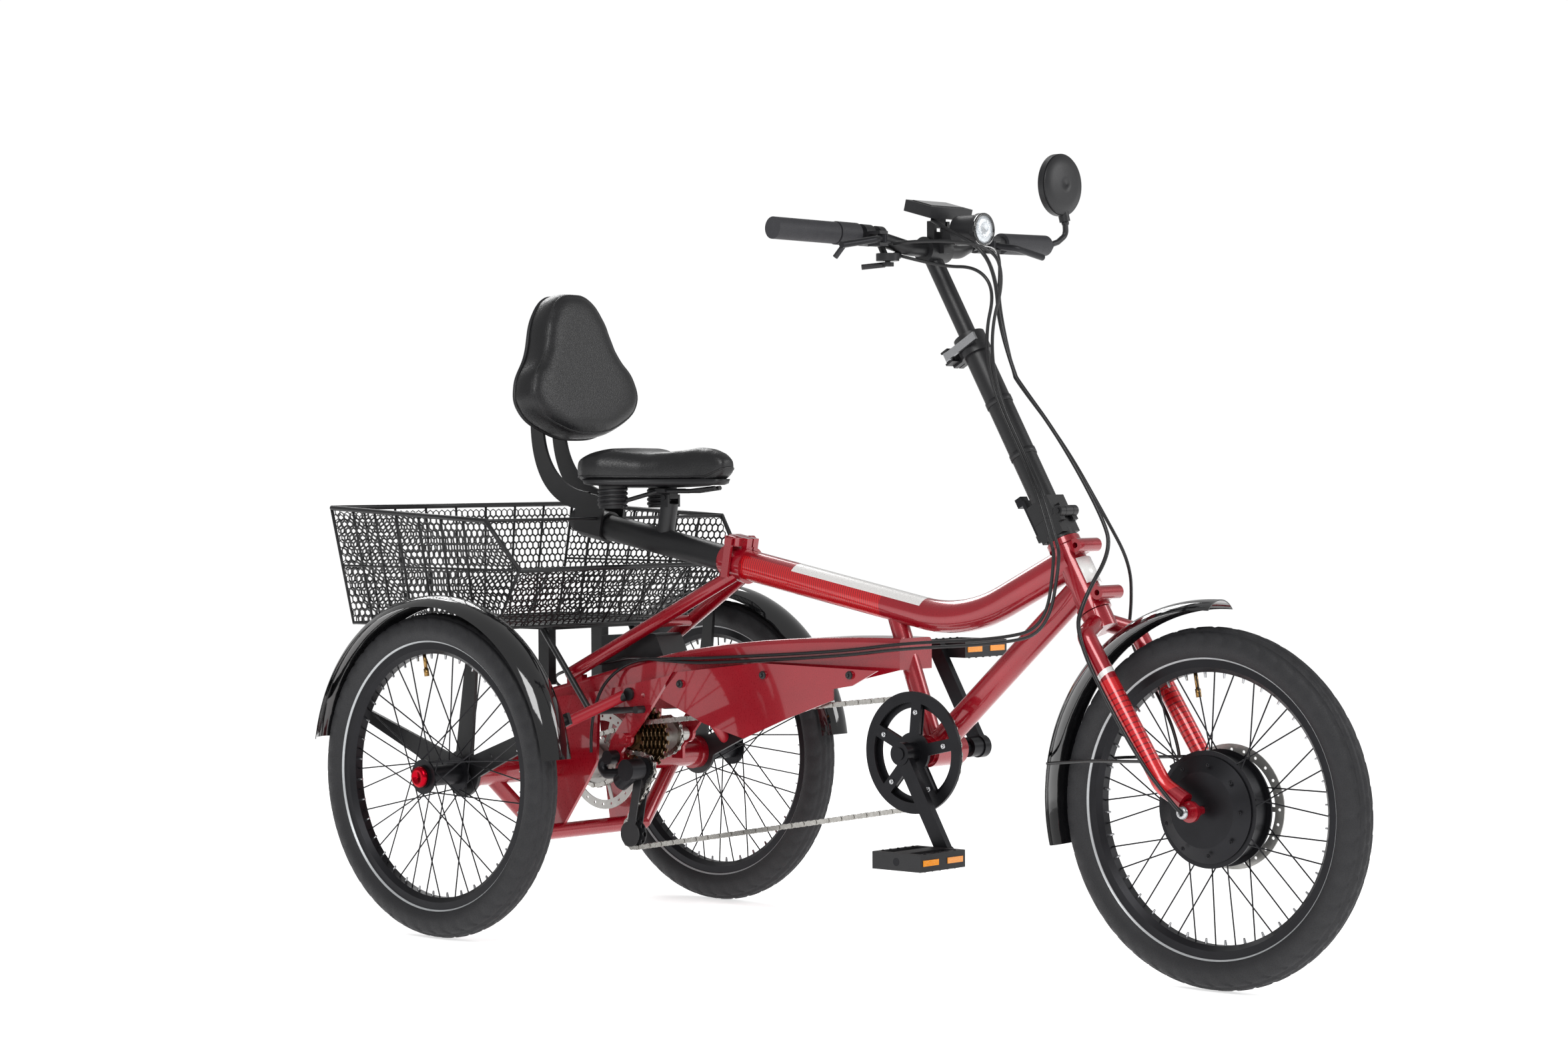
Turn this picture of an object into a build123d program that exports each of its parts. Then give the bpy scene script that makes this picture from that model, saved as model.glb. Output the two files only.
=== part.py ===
"""Adult tricycle with a folding handlepost, a sliding seat, a rear basket and a front hub motor.

Millimetres, +X forward, +Y to the rider's left, +Z up. The origin is on the ground under the middle of the
rear axle.
"""

from build123d import *
import math
import os

os.makedirs("parts", exist_ok=True)

# ---------------------------------------------------------------- driving dimensions
WHEEL_R = 253.0  # tyre's outer radius
TYRE_R = 25.0  # half the tyre's section
RIM_OUT_R, RIM_IN_R, RIM_HALF = 209.0, 190.0, 14.0
SPOKES = 36
WHEELBASE = 1246.0
TRACK_HALF = 317.6  # middle of a rear wheel from the centre plane
HUB_FLANGE_R = 24.0

STEER_ANGLE = 60.0  # steering axis from the ground
HEAD_TOP = (981.7, 621.0)  # x and z of the head tube's top
HEAD_LENGTH = 115.0
HEAD_R, STEERER_R = 22.0, 16.0
RUNNING = 0.05  # radial clearance of a shaft in its bearing
GAP = 0.3  # clearance between pieces that move past each other

POST_LOW_R, POST_HIGH_R = 19.0, 13.0
MAIN_TUBE_R, SLIDER_R = 24.0, 21.0
PLATE_Y, PLATE_T = 70.0, 6.0  # side plates of the rear frame
BEAM_HALF = 67.0
AXLE_TUBE_R = 22.5

CHAIN_Y = -57.0
CRANK_AXIS = (753.0, 310.0)
JACK_AXIS = (165.0, 303.0)
GUIDE_AXIS = (190.0, 256.0)
TENSION_AXIS = (168.0, 152.0)
DRIVE_Y = 25.0
CHAIN_PITCH = 12.7
RING_TEETH, COG_TEETH, PULLEY_TEETH, JACK_TEETH, AXLE_TEETH = 40, 11, 11, 14, 20
COGS = (11, 13, 15, 17, 19, 21, 24)
COG_STEP = 5.0
CHAIN_HALF_H, CHAIN_HALF_W = 4.2, 3.3
SPROCKET_T = 2.0
CRANK_LENGTH = 165.0
PEDAL_Y = 152.0

BAR_R, GRIP_R = 11.0, 16.0
BAR_CLAMP = (743.0, 1050.0)
BAR_END = (706.0, 310.0, 1071.0)

BASE = (Align.CENTER, Align.CENTER, Align.MIN)
MIDDLE = (Align.CENTER, Align.CENTER, Align.CENTER)
FORWARD, LEFT, UP = Vector(1, 0, 0), Vector(0, 1, 0), Vector(0, 0, 1)
STEER = Vector(-math.cos(math.radians(STEER_ANGLE)), 0, math.sin(math.radians(STEER_ANGLE)))
STEER_FRONT = Vector(STEER.Z, 0, -STEER.X)  # square to the steering axis, towards the front


# ---------------------------------------------------------------- small tools
def rod(start, end, radius, mode=Mode.ADD):
    """A straight round bar between two points."""
    start, end = Vector(*start), Vector(*end)
    with Locations(Plane(origin=start, z_dir=end - start).location):
        Cylinder(radius, (end - start).length, align=BASE, mode=mode)


def cone(start, end, radius_start, radius_end, mode=Mode.ADD):
    """A straight bar that tapers from one point to another."""
    start, end = Vector(*start), Vector(*end)
    with Locations(Plane(origin=start, z_dir=end - start).location):
        Cone(radius_start, radius_end, (end - start).length, align=BASE, mode=mode)


def disc(x, y, z, radius, thickness, mode=Mode.ADD):
    """A flat disc square to the wheels' axles, with y at the middle of its thickness."""
    rod((x, y - thickness / 2, z), (x, y + thickness / 2, z), radius, mode)


def block(x, y, z, turn=0.0, mode=Mode.ADD):
    """A box between three pairs of limits, turned nose down about its middle."""
    middle = Vector(sum(x) / 2, sum(y) / 2, sum(z) / 2)
    with Locations(Location(middle, (0, turn, 0))):
        Box(x[1] - x[0], y[1] - y[0], z[1] - z[0], align=MIDDLE, mode=mode)


def bent_tube(points, radius, bends, mode=Mode.ADD):
    """A round tube or rod along straight runs joined by arcs."""
    with BuildLine() as path:
        FilletPolyline(*points, radius=bends)
    with BuildSketch(Plane(path.line ^ 0)) as section:
        Circle(radius)
    sweep(section.sketch, path=path.line, mode=mode)


def side_plate(outline, y, thickness, mode=Mode.ADD):
    """A flat plate square to Y from its outline in x and z, with y at its middle."""
    plane = Plane(origin=(0, y + thickness / 2, 0), x_dir=(1, 0, 0), z_dir=(0, -1, 0))
    with BuildSketch(plane) as section:
        with BuildLine():
            Polyline(*outline, close=True)
        make_face()
    extrude(section.sketch, amount=thickness, mode=mode)


def steer_point(along, front=0.0, left=0.0):
    """A point on the steering axis, along it from the head tube's top, moved to the front and left."""
    top = Vector(HEAD_TOP[0], 0, HEAD_TOP[1])
    return top + STEER * along + STEER_FRONT * front + LEFT * left


def steer_rod(low, high, radius, front=0.0, mode=Mode.ADD):
    """A bar beside the steering axis between two heights along it."""
    rod(steer_point(low, front), steer_point(high, front), radius, mode)


def steer_block(along, front, left, mode=Mode.ADD):
    """A box lined up with the steering axis, between limits along, in front of and to the left of it."""
    middle = steer_point(sum(along) / 2, sum(front) / 2, sum(left) / 2)
    plane = Plane(origin=middle, x_dir=STEER_FRONT, z_dir=STEER)
    with Locations(plane.location):
        Box(front[1] - front[0], left[1] - left[0], along[1] - along[0], align=MIDDLE, mode=mode)


def pitch_radius(teeth):
    """The pitch radius of a chain sprocket."""
    return CHAIN_PITCH / (2 * math.sin(math.pi / teeth))


def sprocket(x, y, z, teeth, thickness=SPROCKET_T, first=0.0):
    """A toothed disc for a roller chain."""
    pitch = pitch_radius(teeth)
    plane = Plane(origin=(x, y + thickness / 2, z), x_dir=(1, 0, 0), z_dir=(0, -1, 0))
    with BuildSketch(plane) as outline:
        Circle(pitch + 3.2)
        with PolarLocations(pitch + 0.6, teeth, start_angle=first):
            Circle(4.0, mode=Mode.SUBTRACT)
    extrude(outline.sketch, amount=thickness)


def chain_loop(wheels, y):
    """A closed band for a chain round wheels of (x, z, teeth, way round), slotted over the sprockets.

    The way round is +1 anticlockwise and -1 clockwise, seen from the right of the tricycle.
    """
    joints = []
    for (x0, z0, teeth0, way0), (x1, z1, teeth1, way1) in zip(wheels, wheels[1:] + wheels[:1]):
        r0, r1 = way0 * pitch_radius(teeth0), way1 * pitch_radius(teeth1)
        length = math.hypot(x1 - x0, z1 - z0)
        turn = math.atan2(z1 - z0, x1 - x0) - math.acos((r0 - r1) / length)
        out = (math.cos(turn), math.sin(turn))
        joints.append(((x0 + r0 * out[0], z0 + r0 * out[1]), (x1 + r1 * out[0], z1 + r1 * out[1])))
    plane = Plane(origin=(0, y + CHAIN_HALF_W, 0), x_dir=(1, 0, 0), z_dir=(0, -1, 0))
    with BuildSketch(plane) as loop:
        with BuildLine():
            for number, (x, z, teeth, way) in enumerate(wheels):
                arrive, leave = joints[number - 1][1], joints[number][0]
                begin = math.atan2(arrive[1] - z, arrive[0] - x)
                wrap = (way * (math.atan2(leave[1] - z, leave[0] - x) - begin)) % (2 * math.pi)
                middle = begin + way * wrap / 2
                radius = pitch_radius(teeth)
                ThreePointArc(arrive, (x + radius * math.cos(middle), z + radius * math.sin(middle)), leave)
                Line(*joints[number])
        make_face()
    for growth, mode in ((CHAIN_HALF_H, Mode.ADD), (-CHAIN_HALF_H, Mode.SUBTRACT)):
        band = offset(loop.sketch, amount=growth, mode=Mode.PRIVATE)
        extrude(band, amount=2 * CHAIN_HALF_W, dir=(0, -1, 0), mode=mode)
    for x, z, teeth, _ in wheels:
        disc(x, y, z, pitch_radius(teeth) + 3.6, SPROCKET_T + 0.6, Mode.SUBTRACT)


def finish(part, name):
    """Names a piece and writes its file."""
    part.part.label = name
    export_step(part.part, f"parts/{name}.step")


# ================================================================ frame
MAIN_REAR = Vector(319, 0, 586.8)
MAIN_ELBOW = Vector(802, 0, 496.9)
MAIN_FRONT = Vector(1003, 0, 595.4)
SLIDE = (MAIN_REAR - MAIN_ELBOW).normalized()  # the seat slides back this way
SLIDE_UP = Vector(-SLIDE.Z, 0, SLIDE.X) * -1  # square to the slide, upwards


def slide_point(back, up=0.0, left=0.0):
    """A point on the seat slide's axis, back from the main tube's rear end, moved up and left."""
    return MAIN_REAR + SLIDE * back + SLIDE_UP * up + LEFT * left


def slide_block(back, up, left, mode=Mode.ADD):
    """A box lined up with the seat slide, between limits back along it, above it and to its left."""
    middle = slide_point(sum(back) / 2, sum(up) / 2, sum(left) / 2)
    with Locations(Plane(origin=middle, x_dir=SLIDE, z_dir=SLIDE_UP).location):
        Box(back[1] - back[0], left[1] - left[0], up[1] - up[0], align=MIDDLE, mode=mode)


MAIN_ROUTE = (MAIN_REAR, MAIN_ELBOW, MAIN_FRONT)
BOSS_HEIGHTS = (-24, -101)  # the two carrier bosses, along the head tube from its top
with BuildPart() as main_frame:
    bent_tube(MAIN_ROUTE, MAIN_TUBE_R, 250)
    bent_tube(MAIN_ROUTE, SLIDER_R + RUNNING, 250, Mode.SUBTRACT)
    slide_block((-62, 1), (10, 30), (-1.5, 1.5), Mode.SUBTRACT)
    steer_rod(-HEAD_LENGTH, 0, HEAD_R)
    for low in (-HEAD_LENGTH, -9):
        steer_rod(low, low + 9, HEAD_R + 3)
    for low in BOSS_HEIGHTS:
        boss = steer_point(low, 33)
        rod(boss - LEFT * 25, boss + LEFT * 25, 10)
        steer_block((low - 8, low + 8), (15, 28), (-12, 12))
    steer_rod(-HEAD_LENGTH - 1, 1, STEERER_R + RUNNING, mode=Mode.SUBTRACT)
    for low in BOSS_HEIGHTS:
        boss = steer_point(low, 33)
        rod(boss - LEFT * 26, boss + LEFT * 26, 4.25, Mode.SUBTRACT)
finish(main_frame, "main_frame")

BB_CENTRE = Vector(CRANK_AXIS[0], 0, CRANK_AXIS[1])
DOWN_TOP = Vector(1018, 0, 557.4)
STRUT_TOP, STRUT_LOW = Vector(665, 0, 513), Vector(742, 0, 311)
with BuildPart() as lower_frame:
    rod(DOWN_TOP, BB_CENTRE + UP * 12, 19.5)
    rod(STRUT_TOP, STRUT_LOW, 14.5)
    bent_tube(MAIN_ROUTE, MAIN_TUBE_R, 250, Mode.SUBTRACT)
    steer_rod(-HEAD_LENGTH - 5, 40, HEAD_R, mode=Mode.SUBTRACT)
    steer_rod(-HEAD_LENGTH - 5, -HEAD_LENGTH + 9, HEAD_R + 3, mode=Mode.SUBTRACT)
    rod((753, -34, 310), (753, 34, 310), 24)
    for side in (-1, 1):
        rod((753, side * 34, 310), (753, side * 39, 310), 20)
    rod((753, -40, 310), (753, 40, 310), 9 + RUNNING, Mode.SUBTRACT)
finish(lower_frame, "lower_frame")

CROSS_BAR = Vector(205, 0, 487)
# The beam from the pedals back to the rear frame is a shallow box that widens towards the back. Two stays
# run down to it from the main tube's rear end.
BEAM_TOP = ((-42, 370.5), (152, 416.4), (252, 439), (441, 465), (704, 475))
BEAM_UNDER = ((704, 428), (600, 404), (262, 388), (-42, 352))
with BuildPart() as centre_beam:
    with BuildSketch(Plane(origin=(0, BEAM_HALF, 0), x_dir=(1, 0, 0), z_dir=(0, -1, 0))):
        with BuildLine():
            Spline(*BEAM_TOP)
            Polyline(BEAM_TOP[-1], *BEAM_UNDER, BEAM_TOP[0])
        make_face()
    extrude(amount=2 * BEAM_HALF)
    for side in (-1, 1):
        with BuildSketch(Plane.XY.offset(300)):
            with BuildLine():
                Polyline((262, side * 90), (262, side * BEAM_HALF), (720, side * 36), (720, side * 90), close=True)
            make_face()
        extrude(amount=200, mode=Mode.SUBTRACT)
    fillet(centre_beam.faces().sort_by(Axis.Z)[-1].edges().filter_by(Axis.Y, reverse=True), 7)
    rod(STRUT_TOP, STRUT_LOW, 14.5, Mode.SUBTRACT)
    for side in (-1, 1):
        rod((352, side * 12, 566), (38, side * 71, 399), 11)
        block((28, 62), (side * 60.5 - 6, side * 60.5 + 6), (380, 400))
    rod(CROSS_BAR - LEFT * 32, CROSS_BAR + LEFT * 32, 9)
    rod(MAIN_REAR, MAIN_ELBOW, MAIN_TUBE_R, Mode.SUBTRACT)
    rod(slide_point(-60), slide_point(60), MAIN_TUBE_R + 5, Mode.SUBTRACT)
finish(centre_beam, "centre_beam")

PLATE_OUTLINE = (
    (-36, 357), (107, 376), (262, 406), (270, 412), (213, 343), (146, 270), (126, 276), (134, 300),
    (172, 346), (104, 340), (100, 262), (78, 230), (18, 150), (-10, 150), (-26, 250),
)
JACK_X, JACK_Z = JACK_AXIS
with BuildPart() as rear_frame:
    for side in (-1, 1):
        side_plate(PLATE_OUTLINE, side * PLATE_Y, PLATE_T)
        disc(JACK_AXIS[0], side * PLATE_Y, JACK_AXIS[1], 14, PLATE_T)
        block((132, 156), (side * PLATE_Y - 3, side * PLATE_Y + 3), (262, 290))
    rod((205, -90, 373), (205, 90, 373), 4, Mode.SUBTRACT)
    for side in (-1, 1):
        rod((0, side * 62, WHEEL_R), (0, side * 264, WHEEL_R), AXLE_TUBE_R)
        rod((0, side * 250, WHEEL_R), (0, side * 264, WHEEL_R), AXLE_TUBE_R + 5)
        rod((0, side * 204, WHEEL_R - 14), (18, side * 116, 148), 12.5)
    rod((18, -118, 148), (18, 118, 148), 12.5)
    for side in (-1, 1):
        rod((0, side * 61, WHEEL_R), (0, side * 240, WHEEL_R), 15, Mode.SUBTRACT)
        rod((0, side * 230, WHEEL_R), (0, side * 265, WHEEL_R), 8 + RUNNING, Mode.SUBTRACT)
    rod((JACK_X, -80, JACK_Z), (JACK_X, 80, JACK_Z), 5)
    for side in (-1, 1):
        rod((JACK_X, side * 73, JACK_Z), (JACK_X, side * 79, JACK_Z), 9)
        rod((JACK_X, side * 64.2, JACK_Z), (JACK_X, side * 67, JACK_Z), 9)
finish(rear_frame, "rear_frame")

GUARD_OUTLINE = (
    (280, 412), (450, 432), (690, 428), (640, 404), (602, 398), (602, 381), (504, 348), (418, 315),
    (337, 334), (240, 370), (256, 389),
)
with BuildPart() as chain_guard:
    side_plate(GUARD_OUTLINE, -PLATE_Y - 0.5, 3)
    for x, z in ((287, 394), (462, 414), (637, 420)):
        inner = -BEAM_HALF + (x - 262) * 31 / 458 if x > 262 else -BEAM_HALF
        disc(x, -PLATE_Y - 3.2, z, 6, 2.4)
        rod((x, -PLATE_Y, z), (x, inner - 2.2, z), 5)
finish(chain_guard, "chain_guard")


def arched_strip(centre, first, turn, half, edge_r, crown_r, wall):
    """A thin curved strip round an axle, from an angle above the front and on over the top, in degrees."""
    angle = math.radians(first)
    plane = Plane(origin=centre, x_dir=(0, 1, 0), z_dir=(math.sin(angle), 0, -math.cos(angle)))
    with BuildSketch(plane) as section:
        with BuildLine():
            ThreePointArc((-half, edge_r), (0, crown_r), (half, edge_r))
            Line((half, edge_r), (half - wall, edge_r))
            ThreePointArc((half - wall, edge_r), (0, crown_r - wall), (wall - half, edge_r))
            Line((wall - half, edge_r), (-half, edge_r))
        make_face()
    revolve(section.sketch, axis=Axis(centre, (0, -1, 0)), revolution_arc=turn)


FENDER_SPAN = (8.0, 162.0)
for side, name in ((-1, "right"), (1, "left")):
    with BuildPart() as rear_fender:
        arched_strip((0, side * TRACK_HALF, WHEEL_R), *FENDER_SPAN, 31, 264, 281, 1.6)
    finish(rear_fender, f"{name}_rear_fender")

# Each rear fender hangs on a three-armed bracket at the end of the axle housing, braced to the side plate.
BRACKET_Y = 272.0
with BuildPart() as fender_brackets:
    for side in (-1, 1):
        y = side * BRACKET_Y
        disc(0, y - side * 5, WHEEL_R, 37, 6)
        for degrees in (22, 83, 160):
            angle = math.radians(degrees)
            out = Vector(math.cos(angle), 0, math.sin(angle))
            edge = Vector(-out.Z, 0, out.X)
            hub = Vector(0, y - side * 5, WHEEL_R)
            tip = hub + out * 258
            corners = (hub - edge * 19, tip - edge * 9, tip + edge * 9, hub + edge * 19)
            side_plate([(corner.X, corner.Z) for corner in corners], hub.Y, 6)
            rod(tip - out * 6, tip - out * 6 + LEFT * side * 15, 4)
        rod((0, side * 262, WHEEL_R), (0, side * 276, WHEEL_R), 8 + RUNNING + 4, Mode.SUBTRACT)
        rod((62, side * 266, 279), (168, side * 79, 371), 9)
        disc(176, side * 75.1, 374, 10, 4)
finish(fender_brackets, "fender_brackets")

# ================================================================ basket and what carries it
BASKET_TOP, BASKET_LOW, BASKET_WALL, BASKET_DEPTH = 273.0, 233.0, 3.0, 188.0
BASKET_SIDE = ((-304, 668), (57, 649), (116, 572), (41, 480), (-298, 480))
BASKET_INSIDE = ((-301, 740), (-301, 483), (39, 483), (112, 572), (112, 740))


def basket_half(z):
    """Half the basket's width at a height."""
    return BASKET_LOW + (BASKET_TOP - BASKET_LOW) * (z - 480) / BASKET_DEPTH


def basket_block(outline, inset, mode=Mode.ADD):
    """A block with the given side view whose ends lean out like the basket's."""
    low, top = basket_half(470) - inset, basket_half(750) - inset
    with BuildSketch(Plane.YZ.offset(-400)) as end_view:
        with BuildLine():
            Polyline((-low, 470), (low, 470), (top, 750), (-top, 750), close=True)
        make_face()
    with BuildSketch(Plane(origin=(0, 400, 0), x_dir=(1, 0, 0), z_dir=(0, -1, 0))) as side_view:
        with BuildLine():
            Polyline(*outline, close=True)
        make_face()
    leaning = extrude(end_view.sketch, amount=800, mode=Mode.PRIVATE)
    straight = extrude(side_view.sketch, amount=800, mode=Mode.PRIVATE)
    add(leaning & straight, mode=mode)


with BuildPart() as basket:
    basket_block(BASKET_SIDE, 0)
    basket_block(BASKET_INSIDE, BASKET_WALL, Mode.SUBTRACT)
    for side in (-1, 1):
        corners = [Vector(x, side * basket_half(z), z) for x, z in BASKET_SIDE[:3]]
        bent_tube(corners, 4, 10)
        rod(Vector(corners[0].X, 0, corners[0].Z), corners[0], 4)
        rod(Vector(corners[2].X, 0, corners[2].Z), corners[2], 4)
finish(basket, "basket")

with BuildPart() as basket_rack:
    for side in (-1, 1):
        block((-280, 30), (side * 90 - 10, side * 90 + 10), (472, 479.7))
        bent_tube(((8, side * 100, 473), (97, side * 82, 343), (205, side * 79, 351)), 5, 12)
        rod((205, side * 73.2, 351), (205, side * 90, 351), 6)
        block((-36, -12), (side * 60 - 8, side * 60 + 8), (381, 473))
    for x in (-270, -24, 18):
        block((x - 12, x + 12), (-100, 100), (472, 479.7))
finish(basket_rack, "basket_rack")

with BuildPart() as controller_case:
    with BuildSketch(Plane(origin=(0, 29, 0), x_dir=(1, 0, 0), z_dir=(0, -1, 0))):
        with BuildLine():
            Polyline((70, 399.5), (176, 424.5), (208, 432), (190, 468), (70, 462), close=True)
        make_face()
        fillet(vertices().group_by(Axis.Y)[-1], 8)
    extrude(amount=58)
finish(controller_case, "controller_case")

# ================================================================ wheels
def wheel_plane(x, y):
    """The plane through an axle that a wheel's section is drawn on, across and outwards."""
    return Plane(origin=(x, y, WHEEL_R), x_dir=(0, 1, 0), z_dir=(1, 0, 0))


def make_tyre(x, y, name):
    with BuildPart() as tyre:
        with BuildSketch(wheel_plane(x, y)):
            with Locations((0, WHEEL_R - TYRE_R)):
                Circle(TYRE_R)
                Circle(TYRE_R - 3.5, mode=Mode.SUBTRACT)
            with Locations((0, RIM_OUT_R - 12)):
                Rectangle(2 * RIM_HALF, 24, mode=Mode.SUBTRACT)
        revolve(axis=Axis((x, y, WHEEL_R), (0, 1, 0)))
    finish(tyre, name)


def rim(x, y):
    """A rim's ring, added to the part in hand."""
    with BuildSketch(wheel_plane(x, y)) as section:
        with BuildLine():
            Polyline(
                (-RIM_HALF, RIM_OUT_R), (-RIM_HALF, RIM_IN_R + 7), (-7, RIM_IN_R), (7, RIM_IN_R),
                (RIM_HALF, RIM_IN_R + 7), (RIM_HALF, RIM_OUT_R), (RIM_HALF - 2, RIM_OUT_R),
                (RIM_HALF - 2, RIM_IN_R + 10), (2 - RIM_HALF, RIM_IN_R + 10), (2 - RIM_HALF, RIM_OUT_R),
                close=True,
            )
        make_face()
    revolve(section.sketch, axis=Axis((x, y, WHEEL_R), (0, 1, 0)))


def spokes(x, y, flanges, flange_r, lead):
    """The spokes of a wheel: flanges gives their two places along the axle from the wheel's plane."""
    for number in range(SPOKES):
        rim_angle = math.radians(number * 360 / SPOKES)
        way = 1 if number % 4 < 2 else -1
        hub_angle = rim_angle + way * math.radians(lead)
        flange = flanges[number % 2]
        reach = RIM_IN_R + 3
        foot = Vector(x + flange_r * math.cos(hub_angle), y + flange, WHEEL_R + flange_r * math.sin(hub_angle))
        head = Vector(x + reach * math.cos(rim_angle), y, WHEEL_R + reach * math.sin(rim_angle))
        rod(foot, head, 1.1)


for side, name in ((-1, "right"), (1, "left")):
    y = side * TRACK_HALF
    make_tyre(0, y, f"{name}_tyre")
    with BuildPart() as wheel:
        rim(0, y)
        rod((0, side * 278, WHEEL_R), (0, side * 352, WHEEL_R), 16)
        for flange in (-37, 33):
            disc(0, y + side * flange, WHEEL_R, 27, 3)
        spokes(0, y, (side * -37, side * 33), HUB_FLANGE_R, 62)
        rod((0, side * 352, WHEEL_R), (0, side * 356, WHEEL_R), 18)
        rod((0, side * 5, WHEEL_R), (0, side * 280, WHEEL_R), 8)
    finish(wheel, f"{name}_wheel")

make_tyre(WHEELBASE, 0, "front_tyre")
MOTOR_R = 75.0
with BuildPart() as front_wheel:
    rim(WHEELBASE, 0)
    spokes(WHEELBASE, 0, (-18, 18), MOTOR_R + 4, 14)
    for side in (-18, 18):
        disc(WHEELBASE, side, WHEEL_R, MOTOR_R + 7, 3)
    rod((WHEELBASE, -25, WHEEL_R), (WHEELBASE, 25, WHEEL_R), MOTOR_R, Mode.SUBTRACT)
finish(front_wheel, "front_wheel")

with BuildPart() as hub_motor:
    disc(WHEELBASE, 0, WHEEL_R, MOTOR_R, 44)
    cone((WHEELBASE, -22, WHEEL_R), (WHEELBASE, -33, WHEEL_R), MOTOR_R, MOTOR_R - 22)
    cone((WHEELBASE, 22, WHEEL_R), (WHEELBASE, 30, WHEEL_R), MOTOR_R, MOTOR_R - 22)
    rod((WHEELBASE, 30, WHEEL_R), (WHEELBASE, 38.9, WHEEL_R), 24)
    rod((WHEELBASE, -40, WHEEL_R), (WHEELBASE, 40, WHEEL_R), 6 + RUNNING, Mode.SUBTRACT)
finish(hub_motor, "hub_motor")


def brake_disc(x, y, radius, bore):
    """A thin drilled brake disc on five arms, added to the part in hand."""
    with BuildSketch(Plane(origin=(x, y + 1, WHEEL_R), x_dir=(1, 0, 0), z_dir=(0, -1, 0))) as outline:
        Circle(radius)
        Circle(radius - 15, mode=Mode.SUBTRACT)
        Circle(30)
        with PolarLocations(radius / 2 + 6, 5):
            Rectangle(radius - 30, 7)
        with PolarLocations(radius - 8, 24):
            Circle(2.2, mode=Mode.SUBTRACT)
        Circle(bore, mode=Mode.SUBTRACT)
    extrude(outline.sketch, amount=2)


with BuildPart() as front_rotor:
    brake_disc(WHEELBASE, 40, 88, 6 + RUNNING)
finish(front_rotor, "front_rotor")

with BuildPart() as differential:
    rod((0, -30, WHEEL_R), (0, 20, WHEEL_R), 28)
    rod((0, 20, WHEEL_R), (0, 41, WHEEL_R), 20)
    sprocket(0, DRIVE_Y, WHEEL_R, AXLE_TEETH)
    brake_disc(0, 42, 80, 8 + RUNNING)
    rod((0, -40, WHEEL_R), (0, 45, WHEEL_R), 8 + RUNNING, Mode.SUBTRACT)
finish(differential, "differential")

with BuildPart() as rear_caliper:
    block((-70, -34), (34, 50), (296, 324), 35)
    disc(0, 42, WHEEL_R, 81.5, 3, Mode.SUBTRACT)
    disc(0, 42, WHEEL_R, 62, 20, Mode.SUBTRACT)
    bent_tube(((-58, 47.5, 315), (-52, 47.5, 332), (-34, 47.5, 353)), 4, 8)
    add(centre_beam.part, mode=Mode.SUBTRACT)
finish(rear_caliper, "rear_caliper")

# ================================================================ fork, its fender and brake
LEG_Y = 62.0
CROWN = steer_point(-HEAD_LENGTH - 16)
with BuildPart() as fork:
    steer_rod(-HEAD_LENGTH - 4, 1.5, STEERER_R)
    steer_rod(-HEAD_LENGTH - 30, -HEAD_LENGTH - 1, HEAD_R)
    for side in (-1, 1):
        leg = (CROWN + LEFT * side * 8, (1068, side * 61, 491), (1202, side * LEG_Y, 286), (1238, side * 60, 266))
        bent_tube(leg, 13.5, (16, 40))
        disc(WHEELBASE, side * 60, WHEEL_R, 15, 6)
    rod((WHEELBASE, -78, WHEEL_R), (WHEELBASE, 78, WHEEL_R), 6)
    for side in (-1, 1):
        rod((WHEELBASE, side * 63, WHEEL_R), (WHEELBASE, side * 73, WHEEL_R), 10)
        rod((WHEELBASE, side * 45, WHEEL_R), (WHEELBASE, side * 57, WHEEL_R), 9)
finish(fork, "fork")

with BuildPart() as front_fender:
    arched_strip((WHEELBASE, 0, WHEEL_R), 88, 106, 30, 276, 291, 1.6)
    for side in (-1, 1):
        bent_tube(((972, side * 27.2, 303), (1060, side * 40, 312), (1172, side * 58, 318)), 2.5, 60)
    add(fork.part, mode=Mode.SUBTRACT)
finish(front_fender, "front_fender")

with BuildPart() as front_caliper:
    block((1150, 1186), (31, 47.5), (286, 316), -30)
    disc(WHEELBASE, 40, WHEEL_R, 89.5, 3, Mode.SUBTRACT)
    disc(WHEELBASE, 36, WHEEL_R, MOTOR_R + 1, 14, Mode.SUBTRACT)
    rod((1160, 44, 306), (1184, 60, 318), 4)
    add(fork.part, mode=Mode.SUBTRACT)
finish(front_caliper, "front_caliper")

# ================================================================ cranks, chains and gears
with BuildPart() as chainring:
    sprocket(CRANK_AXIS[0], CHAIN_Y, CRANK_AXIS[1], RING_TEETH)
    disc(CRANK_AXIS[0], CHAIN_Y, CRANK_AXIS[1], 66, 4, Mode.SUBTRACT)
    with Locations(Plane(origin=(CRANK_AXIS[0], CHAIN_Y, CRANK_AXIS[1]), x_dir=(1, 0, 0), z_dir=(0, -1, 0)).location):
        with PolarLocations(44, 5, start_angle=-60):
            Box(50, 16, SPROCKET_T)
    disc(CRANK_AXIS[0], CHAIN_Y, CRANK_AXIS[1], 24, SPROCKET_T)
    rod((753, -62, 310), (753, -58, 310), 24)
    with BuildSketch(Plane(origin=(CRANK_AXIS[0], -62, CRANK_AXIS[1]), x_dir=(1, 0, 0), z_dir=(0, -1, 0))) as guard:
        Circle(90)
        Circle(74, mode=Mode.SUBTRACT)
        with PolarLocations(50, 5, start_angle=-60):
            Rectangle(56, 18)
        Circle(30)
    extrude(guard.sketch, amount=5)
    rod((753, -70, 310), (753, -50, 310), 9, Mode.SUBTRACT)
finish(chainring, "chainring")

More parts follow.
